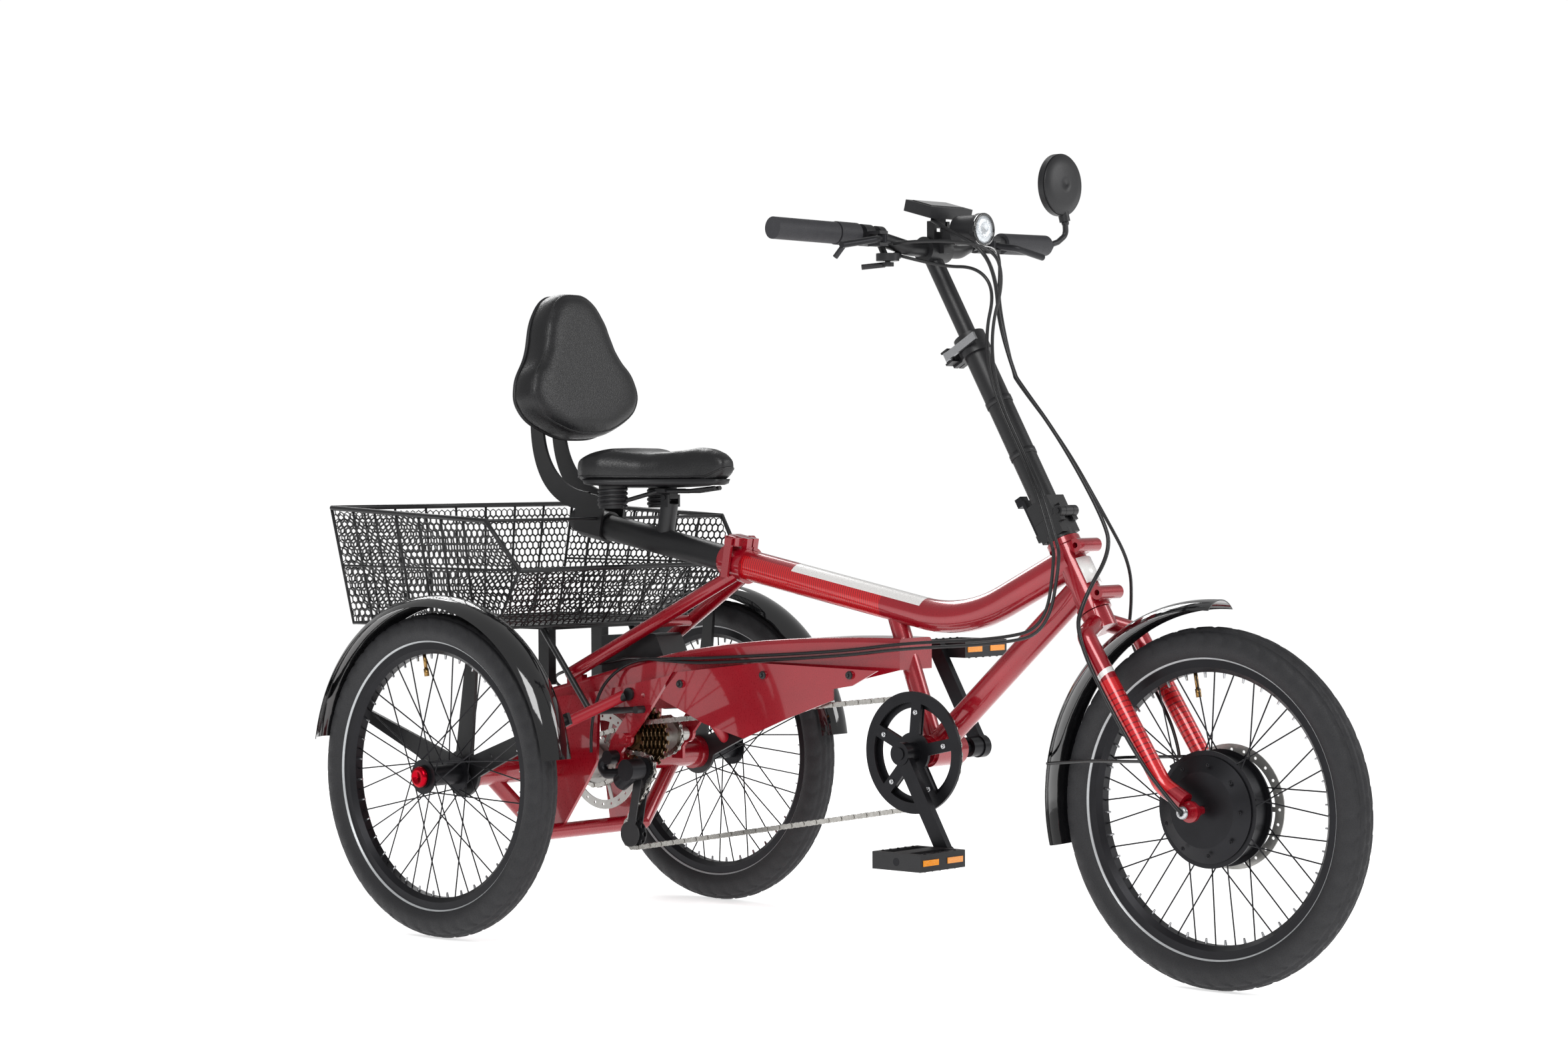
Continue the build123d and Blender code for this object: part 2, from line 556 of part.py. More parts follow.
CRANK_WAY = Vector(0.5, 0, -math.sqrt(0.75))
PEDAL_ENDS = {side: Vector(753, side * 90, 310) - CRANK_WAY * side * CRANK_LENGTH for side in (-1, 1)}
with BuildPart() as cranks:
    rod((753, 60, 310), (753, -67, 310), 9)
    for side, inner in ((-1, 67.0), (1, 60.0)):
        rod((753, side * 83, 310), (753, side * 97, 310), 17)
        rod((753, side * inner, 310), (753, side * 84, 310), 15)
        rod(PEDAL_ENDS[side] - LEFT * 6, PEDAL_ENDS[side] + LEFT * 6, 14)
        arm = Plane(origin=Vector(753, side * 90, 310) - CRANK_WAY * side * 84, x_dir=CRANK_WAY, z_dir=(0, 1, 0))
        with Locations(arm.location):
            Box(148, 23, 11)
        rod(PEDAL_ENDS[side], PEDAL_ENDS[side] + LEFT * side * 112, 6)
        rod((753, side * 96, 310), (753, side * 99, 310), 9)
finish(cranks, "cranks")

for side, name in ((-1, "right"), (1, "left")):
    end, pedal_y = PEDAL_ENDS[side], side * PEDAL_Y
    with BuildPart() as pedal:
        block((end.X - 45, end.X + 45), (pedal_y - 50, pedal_y + 50), (end.Z - 12.5, end.Z + 12.5))
        for across in (-25, 25):
            block((end.X + across - 11, end.X + across + 11), (pedal_y - 40, pedal_y + 40),
                  (end.Z - 13, end.Z + 13), mode=Mode.SUBTRACT)
        rod((end.X, pedal_y - 60, end.Z), (end.X, pedal_y + 60, end.Z), 6 + RUNNING, Mode.SUBTRACT)
    finish(pedal, f"pedal_{name}")

with BuildPart() as chain:
    chain_loop([(*CRANK_AXIS, RING_TEETH, 1), (*JACK_AXIS, COG_TEETH, 1), (*GUIDE_AXIS, PULLEY_TEETH, -1),
                (*TENSION_AXIS, PULLEY_TEETH, 1)], CHAIN_Y)
finish(chain, "chain")

with BuildPart() as drive_chain:
    chain_loop([(*JACK_AXIS, JACK_TEETH, 1), (0, WHEEL_R, AXLE_TEETH, 1)], DRIVE_Y)
finish(drive_chain, "drive_chain")

with BuildPart() as cassette:
    for number, teeth in enumerate(COGS):
        sprocket(JACK_X, CHAIN_Y + COG_STEP * number, JACK_Z, teeth)
    rod((JACK_X, -63, JACK_Z), (JACK_X, -24, JACK_Z), 15)
    rod((JACK_X, -80, JACK_Z), (JACK_X, 0, JACK_Z), 5 + RUNNING, Mode.SUBTRACT)
finish(cassette, "cassette")

with BuildPart() as jackshaft:
    rod((JACK_X, -23.5, JACK_Z), (JACK_X, 63, JACK_Z), 11)
    sprocket(JACK_X, DRIVE_Y, JACK_Z, JACK_TEETH)
    rod((JACK_X, -80, JACK_Z), (JACK_X, 80, JACK_Z), 5 + RUNNING, Mode.SUBTRACT)
finish(jackshaft, "jackshaft")

GUIDE_X, GUIDE_Z = GUIDE_AXIS
TENSION_X, TENSION_Z = TENSION_AXIS
with BuildPart() as derailleur:
    rod((143, -73.2, 273), (143, -92, 273), 11)
    bent_tube(((143, -83, 273), (120, -83, 262), (132, -84, 246), (176, -82, 250)), 8, (9, 12))
    rod((GUIDE_X, -68.3, GUIDE_Z), (GUIDE_X, -98, GUIDE_Z), 17)
    rod((GUIDE_X, -84, GUIDE_Z - 4), (165, -84, 234), 14)
    rod((GUIDE_X, -62, GUIDE_Z), (GUIDE_X, -68.4, GUIDE_Z), 5)
finish(derailleur, "derailleur")

CAGE_WAY = Vector(TENSION_X - GUIDE_X, 0, TENSION_Z - GUIDE_Z)
with BuildPart() as derailleur_cage:
    for y in (-66.4, -49.5):
        middle = Vector(GUIDE_X, y, GUIDE_Z) + CAGE_WAY * 0.5
        with Locations(Plane(origin=middle, x_dir=CAGE_WAY, z_dir=(0, 1, 0)).location):
            Box(CAGE_WAY.length, 16, 2)
        disc(GUIDE_X, y, GUIDE_Z, 11, 2)
        disc(TENSION_X, y, TENSION_Z, 20, 2)
    rod((GUIDE_X, -69, GUIDE_Z), (GUIDE_X, -61, GUIDE_Z), 5 + RUNNING, Mode.SUBTRACT)
    rod((GUIDE_X, -60.9, GUIDE_Z), (GUIDE_X, -49, GUIDE_Z), 3)
    rod((TENSION_X, -67, TENSION_Z), (TENSION_X, -49, TENSION_Z), 3)
finish(derailleur_cage, "derailleur_cage")

for name, (x, z) in (("guide_pulley", GUIDE_AXIS), ("tension_pulley", TENSION_AXIS)):
    with BuildPart() as pulley:
        sprocket(x, CHAIN_Y, z, PULLEY_TEETH)
        rod((x, -60, z), (x, -54, z), 6)
        rod((x, -80, z), (x, -40, z), 3 + RUNNING, Mode.SUBTRACT)
    finish(pulley, name)

# ================================================================ folding and telescoping handlepost
HINGE_SPLIT, HINGE_FRONT = 36.0, 27.0
HINGE_PIVOT = steer_point(HINGE_SPLIT, HINGE_FRONT)
LATCH_PIVOT = steer_point(20, -27)
with BuildPart() as hinge_base:
    steer_rod(1.6, 12, HEAD_R)
    steer_block((6, HINGE_SPLIT), (-21, 21), (-20, 20))
    for side in (-1, 1):
        steer_block((HINGE_SPLIT - 14, HINGE_SPLIT), (20, HINGE_FRONT), (side * 14.5 - 5.5, side * 14.5 + 5.5))
        rod(HINGE_PIVOT + LEFT * side * 9, HINGE_PIVOT + LEFT * side * 20, 8)
    rod(HINGE_PIVOT - LEFT * 8.7, HINGE_PIVOT + LEFT * 8.7, 8.6, Mode.SUBTRACT)
    rod(HINGE_PIVOT - LEFT * 22, HINGE_PIVOT + LEFT * 22, 4)
    for side in (-1, 1):
        steer_block((14.5, 25.5), (-31, -20), (side * 11 - 2, side * 11 + 2))
    rod(LATCH_PIVOT - LEFT * 13.5, LATCH_PIVOT + LEFT * 13.5, 2)
finish(hinge_base, "hinge_base")

POST_TOP = 345.0
LEVER_AT = POST_TOP - 16
with BuildPart() as lower_post:
    steer_block((HINGE_SPLIT + GAP, 66), (-21, 21), (-20, 20))
    steer_block((HINGE_SPLIT + GAP, HINGE_SPLIT + 14), (20, HINGE_FRONT), (-8, 8))
    for side in (-1, 1):
        rod(HINGE_PIVOT + LEFT * side * 8.5, HINGE_PIVOT + LEFT * side * 21, 8.6, Mode.SUBTRACT)
    rod(HINGE_PIVOT - LEFT * 8.2, HINGE_PIVOT + LEFT * 8.2, 8)
    rod(HINGE_PIVOT - LEFT * 9, HINGE_PIVOT + LEFT * 9, 4 + RUNNING, Mode.SUBTRACT)
    steer_rod(60, POST_TOP - 30, POST_LOW_R)
    steer_rod(POST_TOP - 32, POST_TOP, POST_LOW_R + 5)
    steer_block((POST_TOP - 30, POST_TOP - 3), (-40, -18), (-11, 11))
    for side in (-1, 1):
        lug = LEVER_AT + side * 9.5
        steer_block((lug - 1.5, lug + 1.5), (-39, -25), (-28, -10))
    rod(steer_point(LEVER_AT - 11, -32, -22), steer_point(LEVER_AT + 11, -32, -22), 2.5)
    steer_rod(76, POST_TOP + 5, POST_HIGH_R + RUNNING, mode=Mode.SUBTRACT)
    steer_block((POST_TOP - 33, POST_TOP + 1), (-45, -10), (-1.5, 1.5), Mode.SUBTRACT)
finish(lower_post, "lower_post")

with BuildPart() as post_clamp_lever:
    rod(steer_point(LEVER_AT - 7, -32, -22), steer_point(LEVER_AT + 7, -32, -22), 7)
    steer_block((LEVER_AT - 6, LEVER_AT + 6), (-34, 30), (-30, -25.5))
    rod(steer_point(LEVER_AT - 9, -32, -22), steer_point(LEVER_AT + 9, -32, -22), 2.5 + RUNNING, Mode.SUBTRACT)
finish(post_clamp_lever, "post_clamp_lever")

with BuildPart() as post_latch:
    rod(LATCH_PIVOT - LEFT * 8, LATCH_PIVOT + LEFT * 8, 5.6)
    steer_block((20, 84), (-33, -27), (-8, 8))
    steer_block((78, 92), (-42, -30), (-8, 8))
    rod(LATCH_PIVOT - LEFT * 9, LATCH_PIVOT + LEFT * 9, 2 + RUNNING, Mode.SUBTRACT)
finish(post_latch, "post_latch")

STEM_LENGTH = (1036.0 - HEAD_TOP[1]) / STEER.Z
with BuildPart() as upper_post:
    steer_rod(180, STEM_LENGTH, POST_HIGH_R)
    rod((743, -24, 1050), (743, 24, 1050), 19)
    block((766, 786), (-9, 9), (1056, 1080))
    block((743, 770), (-9, 9), (1044, 1066))
    block((745, 759), (-18, 18), (1064, 1076))
    for side in (-1, 1):
        block((745, 759), (side * 15 - 3, side * 15 + 3), (1074, 1092))
    rod((752, -18, 1086), (752, 18, 1086), 2.5)
    rod((743, -60, 1050), (743, 60, 1050), BAR_R, Mode.SUBTRACT)
finish(upper_post, "upper_post")

BAR_ROUTE = [(BAR_END[0], -BAR_END[1], BAR_END[2]), (722, -118, 1067), (743, -58, 1050), (743, 58, 1050),
             (722, 118, 1067), BAR_END]
with BuildPart() as handlebar:
    bent_tube(BAR_ROUTE, BAR_R, (60, 40, 40, 60))
finish(handlebar, "handlebar")


def bar_point(y):
    """A point on the outer, straight part of the handlebar at a distance across."""
    share = (abs(y) - 118) / (BAR_END[1] - 118)
    return Vector(722 + (BAR_END[0] - 722) * share, y, 1067 + (BAR_END[2] - 1067) * share)


def bar_sleeve(first, last, radius, bore=BAR_R):
    """A sleeve round the handlebar between two distances across."""
    rod(bar_point(first), bar_point(last), radius)
    way = 5 if first < last else -5
    rod(bar_point(first - way), bar_point(last + way), bore, Mode.SUBTRACT)


with BuildPart() as grips:
    for side in (-1, 1):
        bar_sleeve(side * 192, side * 310, GRIP_R)
        rod(bar_point(side * 310), bar_point(side * 313), GRIP_R)
finish(grips, "grips")

SHIFTER = Vector(742, -104, 1034)
MIRROR_BALL, BALL_R = Vector(712, 358, 1108), 6.0
LEVER_PIVOTS = {side: bar_point(side * 128) + Vector(30, -side * 2, -6) for side in (-1, 1)}
with BuildPart() as bar_controls:
    for side, pivot in LEVER_PIVOTS.items():
        bar_sleeve(side * 122, side * 140, 16)
        for low in (-11, 6.3):
            block((pivot.X - 16, pivot.X + 7), (side * 131 - 9, side * 131 + 9),
                  (pivot.Z + low, pivot.Z + low + 4.7))
        rod((pivot.X, pivot.Y, pivot.Z - 11), (pivot.X, pivot.Y, pivot.Z + 11), 3)
        rod((733, side * 126, 1062), (738, side * 96, 1056), 4)
    rod(SHIFTER + UP * -4, SHIFTER + UP * 7, 17)
    rod(SHIFTER + (-3, 14, 2), SHIFTER + (-7, 32, 6), 6)
    rod(SHIFTER + (-6, 0, 6), SHIFTER + (-15, 0, 22), 5)
    rod(bar_point(-98), bar_point(-110), BAR_R + 4)
    rod(SHIFTER + UP * -12, SHIFTER + UP * -3, 4)
    rod(BAR_END, Vector(*BAR_END) + Vector(0, 16, 1), 8)
    bent_tube((Vector(*BAR_END) + Vector(0, 10, 0), (707, 345, 1078), (710, 362, 1090), MIRROR_BALL), 4.5, (8, 12))
    with Locations(MIRROR_BALL):
        Sphere(BALL_R)
    add(grips.part, mode=Mode.SUBTRACT)
    add(handlebar.part, mode=Mode.SUBTRACT)
finish(bar_controls, "bar_controls")

for side, name in ((-1, "right"), (1, "left")):
    pivot = LEVER_PIVOTS[side]
    with BuildPart() as brake_lever:
        rod((pivot.X, pivot.Y, pivot.Z - 6), (pivot.X, pivot.Y, pivot.Z + 6), 7)
        bent_tube(((pivot.X, side * 130, pivot.Z), (pivot.X + 18, side * 160, pivot.Z - 3),
                   (pivot.X + 14, side * 232, pivot.Z - 14)), 5, 30)
        rod((pivot.X, pivot.Y, pivot.Z - 12), (pivot.X, pivot.Y, pivot.Z + 12), 3 + RUNNING, Mode.SUBTRACT)
    finish(brake_lever, f"brake_lever_{name}")

with BuildPart() as throttle:
    bar_sleeve(-150, -190, 17, BAR_R + RUNNING)
    rod(bar_point(-170) + Vector(0, 0, -14), bar_point(-176) + Vector(-14, 0, -34), 4)
finish(throttle, "throttle")

with BuildPart() as shift_lever:
    rod(SHIFTER + UP * -12, SHIFTER + UP * -6, 9)
    rod(SHIFTER + UP * -9, SHIFTER + (-26, -28, -13), 4)
    rod(SHIFTER + UP * -14, SHIFTER + UP * -4, 4 + RUNNING, Mode.SUBTRACT)
finish(shift_lever, "shift_lever")

with BuildPart() as display:
    block((726, 778), (-47, 47), (1100, 1117), 15)
    block((747, 757), (-11.5, 11.5), (1082, 1102))
    rod((752, -12, 1086), (752, 12, 1086), 2.5 + RUNNING, Mode.SUBTRACT)
finish(display, "display")

with BuildPart() as headlight:
    rod((791, 0, 1076), (830, 0, 1076), 22)
    rod((830, 0, 1076), (838, 0, 1076), 24)
    rod((786.3, 0, 1076), (792, 0, 1076), 14)
finish(headlight, "headlight")

with BuildPart() as mirror_head:
    rod((703, 349, 1167), (713, 349, 1167), 48.5)
    rod((709, 356, 1126), (711.7, 357.8, 1110), 8.5)
    with Locations(MIRROR_BALL):
        Sphere(BALL_R + GAP, mode=Mode.SUBTRACT)
finish(mirror_head, "mirror_head")

# ================================================================ seat
with BuildPart() as seat_clamp:
    rod(slide_point(-52), slide_point(-8), MAIN_TUBE_R + 5)
    slide_block((-50, -10), (24, 42), (-13, 13))
    rod(slide_point(-60), slide_point(0), MAIN_TUBE_R, Mode.SUBTRACT)
    slide_block((-56, 0), (20, 50), (-1.5, 1.5), Mode.SUBTRACT)
    rod(slide_point(-30, 36, 12.5), slide_point(-30, 36, 22), 7)
    for lug in (-40, -20):
        slide_block((lug - 1.5, lug + 1.5), (29, 42), (-31, -12.5))
    rod(slide_point(-41.5, 36, -25), slide_point(-18.5, 36, -25), 2.5)
finish(seat_clamp, "seat_clamp")

with BuildPart() as seat_clamp_lever:
    rod(slide_point(-37, 36, -25), slide_point(-23, 36, -25), 6.8)
    slide_block((-37, -23), (-22, 40), (-35, -30.5))
    rod(slide_point(-39, 36, -25), slide_point(-21, 36, -25), 2.5 + RUNNING, Mode.SUBTRACT)
finish(seat_clamp_lever, "seat_clamp_lever")

SLIDER_BACK, SLIDER_FRONT = 334.0, -245.0
SADDLE_PIVOT = Vector(197, 0, 683)
with BuildPart() as seat_slider:
    rod(slide_point(SLIDER_FRONT), slide_point(SLIDER_BACK), SLIDER_R)
    rod((186, 0, 628), (196, 0, 675), 14)
    for side in (-1, 1):
        block((189, 205), (side * 12 - 2, side * 12 + 2), (668, 687.5))
    rod(SADDLE_PIVOT - LEFT * 16, SADDLE_PIVOT + LEFT * 16, 4)
    rod(slide_point(SLIDER_FRONT - 2), slide_point(SLIDER_BACK + 2), SLIDER_R - 3, Mode.SUBTRACT)
finish(seat_slider, "seat_slider")

with BuildPart() as saddle_frame:
    block((189, 205), (-9.5, 9.5), (681, 692))
    rod(SADDLE_PIVOT - LEFT * 10, SADDLE_PIVOT + LEFT * 10, 4 + RUNNING, Mode.SUBTRACT)
    for side in (-1, 1):
        bent_tube(((300, side * 6, 698), (250, side * 12, 693), (190, side * 20, 693), (124, side * 56, 672)), 3.5, 20)
        rod((124, side * 56, 666), (124, side * 56, 701.7), 22)
    block((186, 208), (-24, 24), (691, 697))
finish(saddle_frame, "saddle_frame")

SADDLE_HALF = ((334, 13), (322, 20), (250, 27), (170, 60), (118, 106), (96, 112), (70, 100), (64, 70))
with BuildPart() as saddle:
    with BuildSketch(Plane.XY.offset(702)):
        with BuildLine():
            Polyline(*SADDLE_HALF, *((x, -y) for x, y in reversed(SADDLE_HALF)), close=True)
        make_face()
    extrude(amount=60, dir=(0, 0, 1))
    side_top = ((40, 756), (110, 760), (168, 752), (225, 756), (281, 764), (318, 754), (340, 738), (340, 800), (40, 800))
    side_plate(side_top, 0, 300, Mode.SUBTRACT)
    side_plate(((340, 690), (340, 722), (310, 702), (310, 690)), 0, 300, Mode.SUBTRACT)
finish(saddle, "saddle")

BRACKET_CURVE = ((24, 664), (-22, 674), (-64, 706), (-90, 764), (-94, 840), (-94, 892))
with BuildPart() as backrest_bracket:
    for side in (-1, 1):
        with BuildSketch(Plane(origin=(0, side * 24 + 2.5, 0), x_dir=(1, 0, 0), z_dir=(0, -1, 0))) as band:
            with BuildLine():
                Spline(*BRACKET_CURVE)
                Line(BRACKET_CURVE[-1], (-66, 888))
                Spline((-66, 888), (-66, 838), (-62, 772), (-40, 728), (0, 700), (40, 692))
                Line((40, 692), BRACKET_CURVE[0])
            make_face()
        extrude(band.sketch, amount=5)
        slide_block((258, 318), (-14, 50), (side * 24 - 2.5, side * 24 + 2.5))
    rod(slide_point(262), slide_point(316), SLIDER_R + 4)
    rod(slide_point(250), slide_point(340), SLIDER_R + RUNNING, Mode.SUBTRACT)
finish(backrest_bracket, "backrest_bracket")

PAD_FACE, PAD_LEAN, PAD_THICK = (18.0, 844.0), 10.0, 54.0
PAD_UP = Vector(-math.sin(math.radians(PAD_LEAN)), 0, math.cos(math.radians(PAD_LEAN)))
PAD_FRONT = Vector(PAD_UP.Z, 0, -PAD_UP.X)
PAD_ORIGIN = Vector(PAD_FACE[0], 0, PAD_FACE[1]) - PAD_FRONT * PAD_THICK
with BuildPart() as backrest_pad:
    with BuildSketch(Plane(origin=PAD_ORIGIN, x_dir=(0, 1, 0), z_dir=PAD_FRONT)):
        with BuildLine():
            Spline((0, -68), (70, -56), (126, -14), (126, 24), (92, 80), (62, 150), (30, 180), (0, 184),
                   tangents=((1, 0), (-1, 0)))
            mirror(about=Plane.YZ)
        make_face()
    extrude(amount=PAD_THICK, dir=PAD_FRONT)
    with Locations(Plane(origin=PAD_ORIGIN + PAD_UP * 30, x_dir=(0, 1, 0), z_dir=PAD_FRONT).location):
        Box(150, 130, 12)
    block((-92, -30), (-21, 21), (846, 892))
finish(backrest_pad, "backrest_pad")

# ================================================================ cables
# Each runs straight between its clips and turns in arcs; the first point leaves a lever or the shifter.
CABLE_R = 2.5
GEAR_CABLE = (
    (735, -68.5, 1039.5), (790, -40, 1022), (850, -30, 1020), (878, -24, 985), (858, -23, 920), (870.5, -22.5, 840),
    (929.5, -22.5, 738), (976, -45, 680), (1004, -48, 600), (985, -46, 500), (900, -41, 480), (717, -42, 469),
    (600, -49, 453), (347, -67, 436), (280, -70.6, 433), (165, -71, 428), (108, -94, 361), (112, -96, 280),
)
REAR_BRAKE_CABLE = (
    (745.5, -95, 1056), (800, -78, 1060), (892, -46, 1048), (900, -30, 1000), (872, -28, 925), (882, -28, 840),
    (940, -28, 738), (990, -52, 684), (1020, -56, 600), (995, -54, 492), (900, -47, 473), (717, -47.5, 461),
    (600, -55, 446), (347, -67.5, 428), (285, -71, 427.5), (200, -70, 431), (150, -50, 429), (115, -40, 423),
    (-30, -36, 400), (-52, -16, 378), (-52, 30, 362), (-50, 47, 347.5),
)
FRONT_BRAKE_CABLE = (
    (745.5, 95, 1056), (800, 70, 1058), (846, 30, 1030), (850, 16, 960), (890, 8, 855), (978, 8, 762),
    (1050, 10, 657), (1076, 34, 590), (1050, 72, 530), (1046, 66, 480), (1120, 62, 378), (1148, 50, 328),
    (1153, 44, 316),
)
MOTOR_CABLE = (
    (768, -34, 1092), (805, -34, 1072), (856, -24, 1046), (868, -8, 1000), (866, 0, 930), (900, -2, 856),
    (980, -3, 768), (1056, -4, 657), (1076, -10, 610), (1070, -66, 545), (1062, -80, 490), (1166, -80, 330),
    (1236, -84, 262), (1249, -84, 253),
)
with BuildPart() as rear_cables:
    bent_tube(GEAR_CABLE, CABLE_R, 12)
    bent_tube(REAR_BRAKE_CABLE, CABLE_R, 8)
finish(rear_cables, "rear_cables")
with BuildPart() as front_cables:
    bent_tube(FRONT_BRAKE_CABLE, CABLE_R, 8)
    bent_tube(MOTOR_CABLE, CABLE_R + 0.5, 8)
finish(front_cables, "front_cables")
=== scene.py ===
"""Looks for an adult tricycle: paint, rubber, mesh, chain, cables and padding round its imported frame."""

import math

import bmesh
import bpy
from mathutils import Matrix, Vector
from mathutils.bvhtree import BVHTree


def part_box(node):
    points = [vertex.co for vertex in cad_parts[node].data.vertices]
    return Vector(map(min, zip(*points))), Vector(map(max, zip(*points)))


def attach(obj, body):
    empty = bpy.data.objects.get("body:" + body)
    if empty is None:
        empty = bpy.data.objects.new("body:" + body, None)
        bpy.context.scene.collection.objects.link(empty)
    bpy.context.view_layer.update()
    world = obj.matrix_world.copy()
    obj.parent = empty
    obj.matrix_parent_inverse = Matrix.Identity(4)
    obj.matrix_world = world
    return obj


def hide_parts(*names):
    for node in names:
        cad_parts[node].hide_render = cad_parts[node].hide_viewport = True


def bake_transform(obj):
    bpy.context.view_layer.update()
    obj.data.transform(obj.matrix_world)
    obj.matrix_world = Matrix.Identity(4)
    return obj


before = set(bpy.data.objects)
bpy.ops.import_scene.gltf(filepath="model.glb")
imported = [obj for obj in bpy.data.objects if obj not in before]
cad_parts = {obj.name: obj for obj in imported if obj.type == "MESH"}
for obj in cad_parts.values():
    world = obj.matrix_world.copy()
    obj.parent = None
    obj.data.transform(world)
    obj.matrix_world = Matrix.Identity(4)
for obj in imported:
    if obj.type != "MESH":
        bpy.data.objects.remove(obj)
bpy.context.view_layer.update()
MM = 0.001
WHEEL_R, WHEELBASE, TRACK_HALF = 253 * MM, 1246 * MM, 317.6 * MM
# Axles of the sprockets, as distance forward and height.
CRANK, JACK, GUIDE, TENSION = (0.753, 0.310), (0.165, 0.303), (0.190, 0.256), (0.168, 0.152)
SPOKES = 36
CHAIN_PITCH = 12.7 * MM


# ---------------------------------------------------------------- camera, light and floor
def place_camera():
    """The viewpoint: low, off the right front corner, with a long lens."""
    azimuth, elevation, roll = math.radians(42.224), math.radians(0.9635), math.radians(-0.3466)
    back = Vector((math.sin(azimuth) * math.cos(elevation), -math.cos(azimuth) * math.cos(elevation),
                   math.sin(elevation)))
    right = Vector((math.cos(azimuth), math.sin(azimuth), 0))
    up = back.cross(right)
    turned_right = right * math.cos(roll) + up * math.sin(roll)
    turned_up = up * math.cos(roll) - right * math.sin(roll)
    data = bpy.data.cameras.new("camera")
    data.sensor_width, data.lens, data.clip_end = 36, 81.2, 50
    camera = bpy.data.objects.new("camera", data)
    axes = Matrix((turned_right, turned_up, back)).transposed().to_4x4()
    camera.matrix_world = Matrix.Translation((4.0997, -4.0324, 0.7356)) @ axes
    bpy.context.scene.collection.objects.link(camera)
    bpy.context.scene.camera = camera


def softbox(name, place, target, size, watts):
    """A square studio lamp that faces a point."""
    data = bpy.data.lights.new(name, "AREA")
    data.shape, data.size, data.energy = "SQUARE", size, watts
    lamp = bpy.data.objects.new(name, data)
    lamp.location = place
    lamp.rotation_euler = (Vector(target) - Vector(place)).to_track_quat("-Z", "Y").to_euler()
    bpy.context.scene.collection.objects.link(lamp)


def light_studio():
    """A white surround with three softboxes, which give the paint its long highlights."""
    world = bpy.data.worlds.new("studio")
    world.use_nodes = True
    tree = world.node_tree
    tree.nodes["Background"].inputs["Color"].default_value = (1, 1, 1, 1)
    seen = add(tree, "ShaderNodeLightPath").outputs["Is Camera Ray"]
    strength = add(tree, "ShaderNodeMapRange", {"Value": seen, "To Min": 0.42, "To Max": 1.02})
    tree.links.new(strength.outputs["Result"], tree.nodes["Background"].inputs["Strength"])
    bpy.context.scene.world = world
    bpy.context.scene.view_settings.view_transform = "Standard"
    middle = (0.6, 0, 0.5)
    softbox("key", (2.6, -3.2, 3.4), middle, 2.0, 90)
    softbox("fill", (3.6, 2.2, 2.2), middle, 1.6, 40)
    softbox("rim", (-2.6, 1.6, 3.0), middle, 1.8, 60)


# ---------------------------------------------------------------- materials
def srgb(code):
    """An sRGB hex colour as linear red, green, blue and alpha."""
    channels = (int(code[i:i + 2], 16) / 255 for i in (1, 3, 5))
    return (*(c / 12.92 if c <= 0.04045 else ((c + 0.055) / 1.055) ** 2.4 for c in channels), 1.0)


def add(tree, kind, links=None, **settings):
    """Adds a node, sets its properties and sockets, and links the sockets given as other nodes' outputs."""
    node = tree.nodes.new(kind)
    for key, value in settings.items():
        setattr(node, key, value)
    for socket, value in (links or {}).items():
        if isinstance(value, bpy.types.NodeSocket):
            tree.links.new(value, node.inputs[socket])
        else:
            node.inputs[socket].default_value = value
    return node


def finish(name, colour, rough, metallic=0.0, second=None, patch_mm=30, grain_mm=1.0, grain=0.1, coat=0.0,
           spread=0.06, ior=1.5):
    """A material whose colour drifts to a second one in patches, with a grain in its roughness and bump."""
    material = bpy.data.materials.new(name)
    material.use_nodes = True
    tree = material.node_tree
    shader = tree.nodes["Principled BSDF"]
    place = add(tree, "ShaderNodeTexCoord").outputs["Object"]
    patches = add(tree, "ShaderNodeTexNoise", {"Vector": place, "Scale": 1000 / patch_mm, "Detail": 3.0})
    drift = add(tree, "ShaderNodeMix", {
        0: patches.outputs["Fac"], 6: srgb(colour), 7: srgb(second or colour)}, data_type="RGBA")
    tree.links.new(drift.outputs[2], shader.inputs["Base Color"])
    grains = add(tree, "ShaderNodeTexNoise", {"Vector": place, "Scale": 1000 / grain_mm, "Detail": 2.0})
    roughness = add(tree, "ShaderNodeMapRange", {
        "Value": grains.outputs["Fac"], "From Min": 0.3, "From Max": 0.7,
        "To Min": max(0.02, rough - spread), "To Max": rough + spread})
    tree.links.new(roughness.outputs["Result"], shader.inputs["Roughness"])
    bump = add(tree, "ShaderNodeBump", {"Height": grains.outputs["Fac"], "Strength": grain,
                                        "Distance": grain_mm * MM * 0.5})
    tree.links.new(bump.outputs["Normal"], shader.inputs["Normal"])
    shader.inputs["Metallic"].default_value = metallic
    shader.inputs["Coat Weight"].default_value = coat
    shader.inputs["Coat Roughness"].default_value = 0.04
    if not metallic:
        shader.inputs["IOR"].default_value = ior
    material.diffuse_color = srgb(colour)
    return material


def repaint(material, colour, mask):
    """Lays a colour over a finish where a mask is 1."""
    tree = material.node_tree
    base = tree.nodes["Principled BSDF"].inputs["Base Color"]
    under = base.links[0].from_socket
    over = add(tree, "ShaderNodeMix", {0: mask, 6: under, 7: srgb(colour)}, data_type="RGBA")
    tree.links.new(over.outputs[2], base)


def within(tree, value, low, high):
    """1 where a value lies between two limits."""
    above = add(tree, "ShaderNodeMath", {0: value, 1: low}, operation="GREATER_THAN").outputs[0]
    below = add(tree, "ShaderNodeMath", {0: value, 1: high}, operation="LESS_THAN").outputs[0]
    return add(tree, "ShaderNodeMath", {0: above, 1: below}, operation="MULTIPLY").outputs[0]


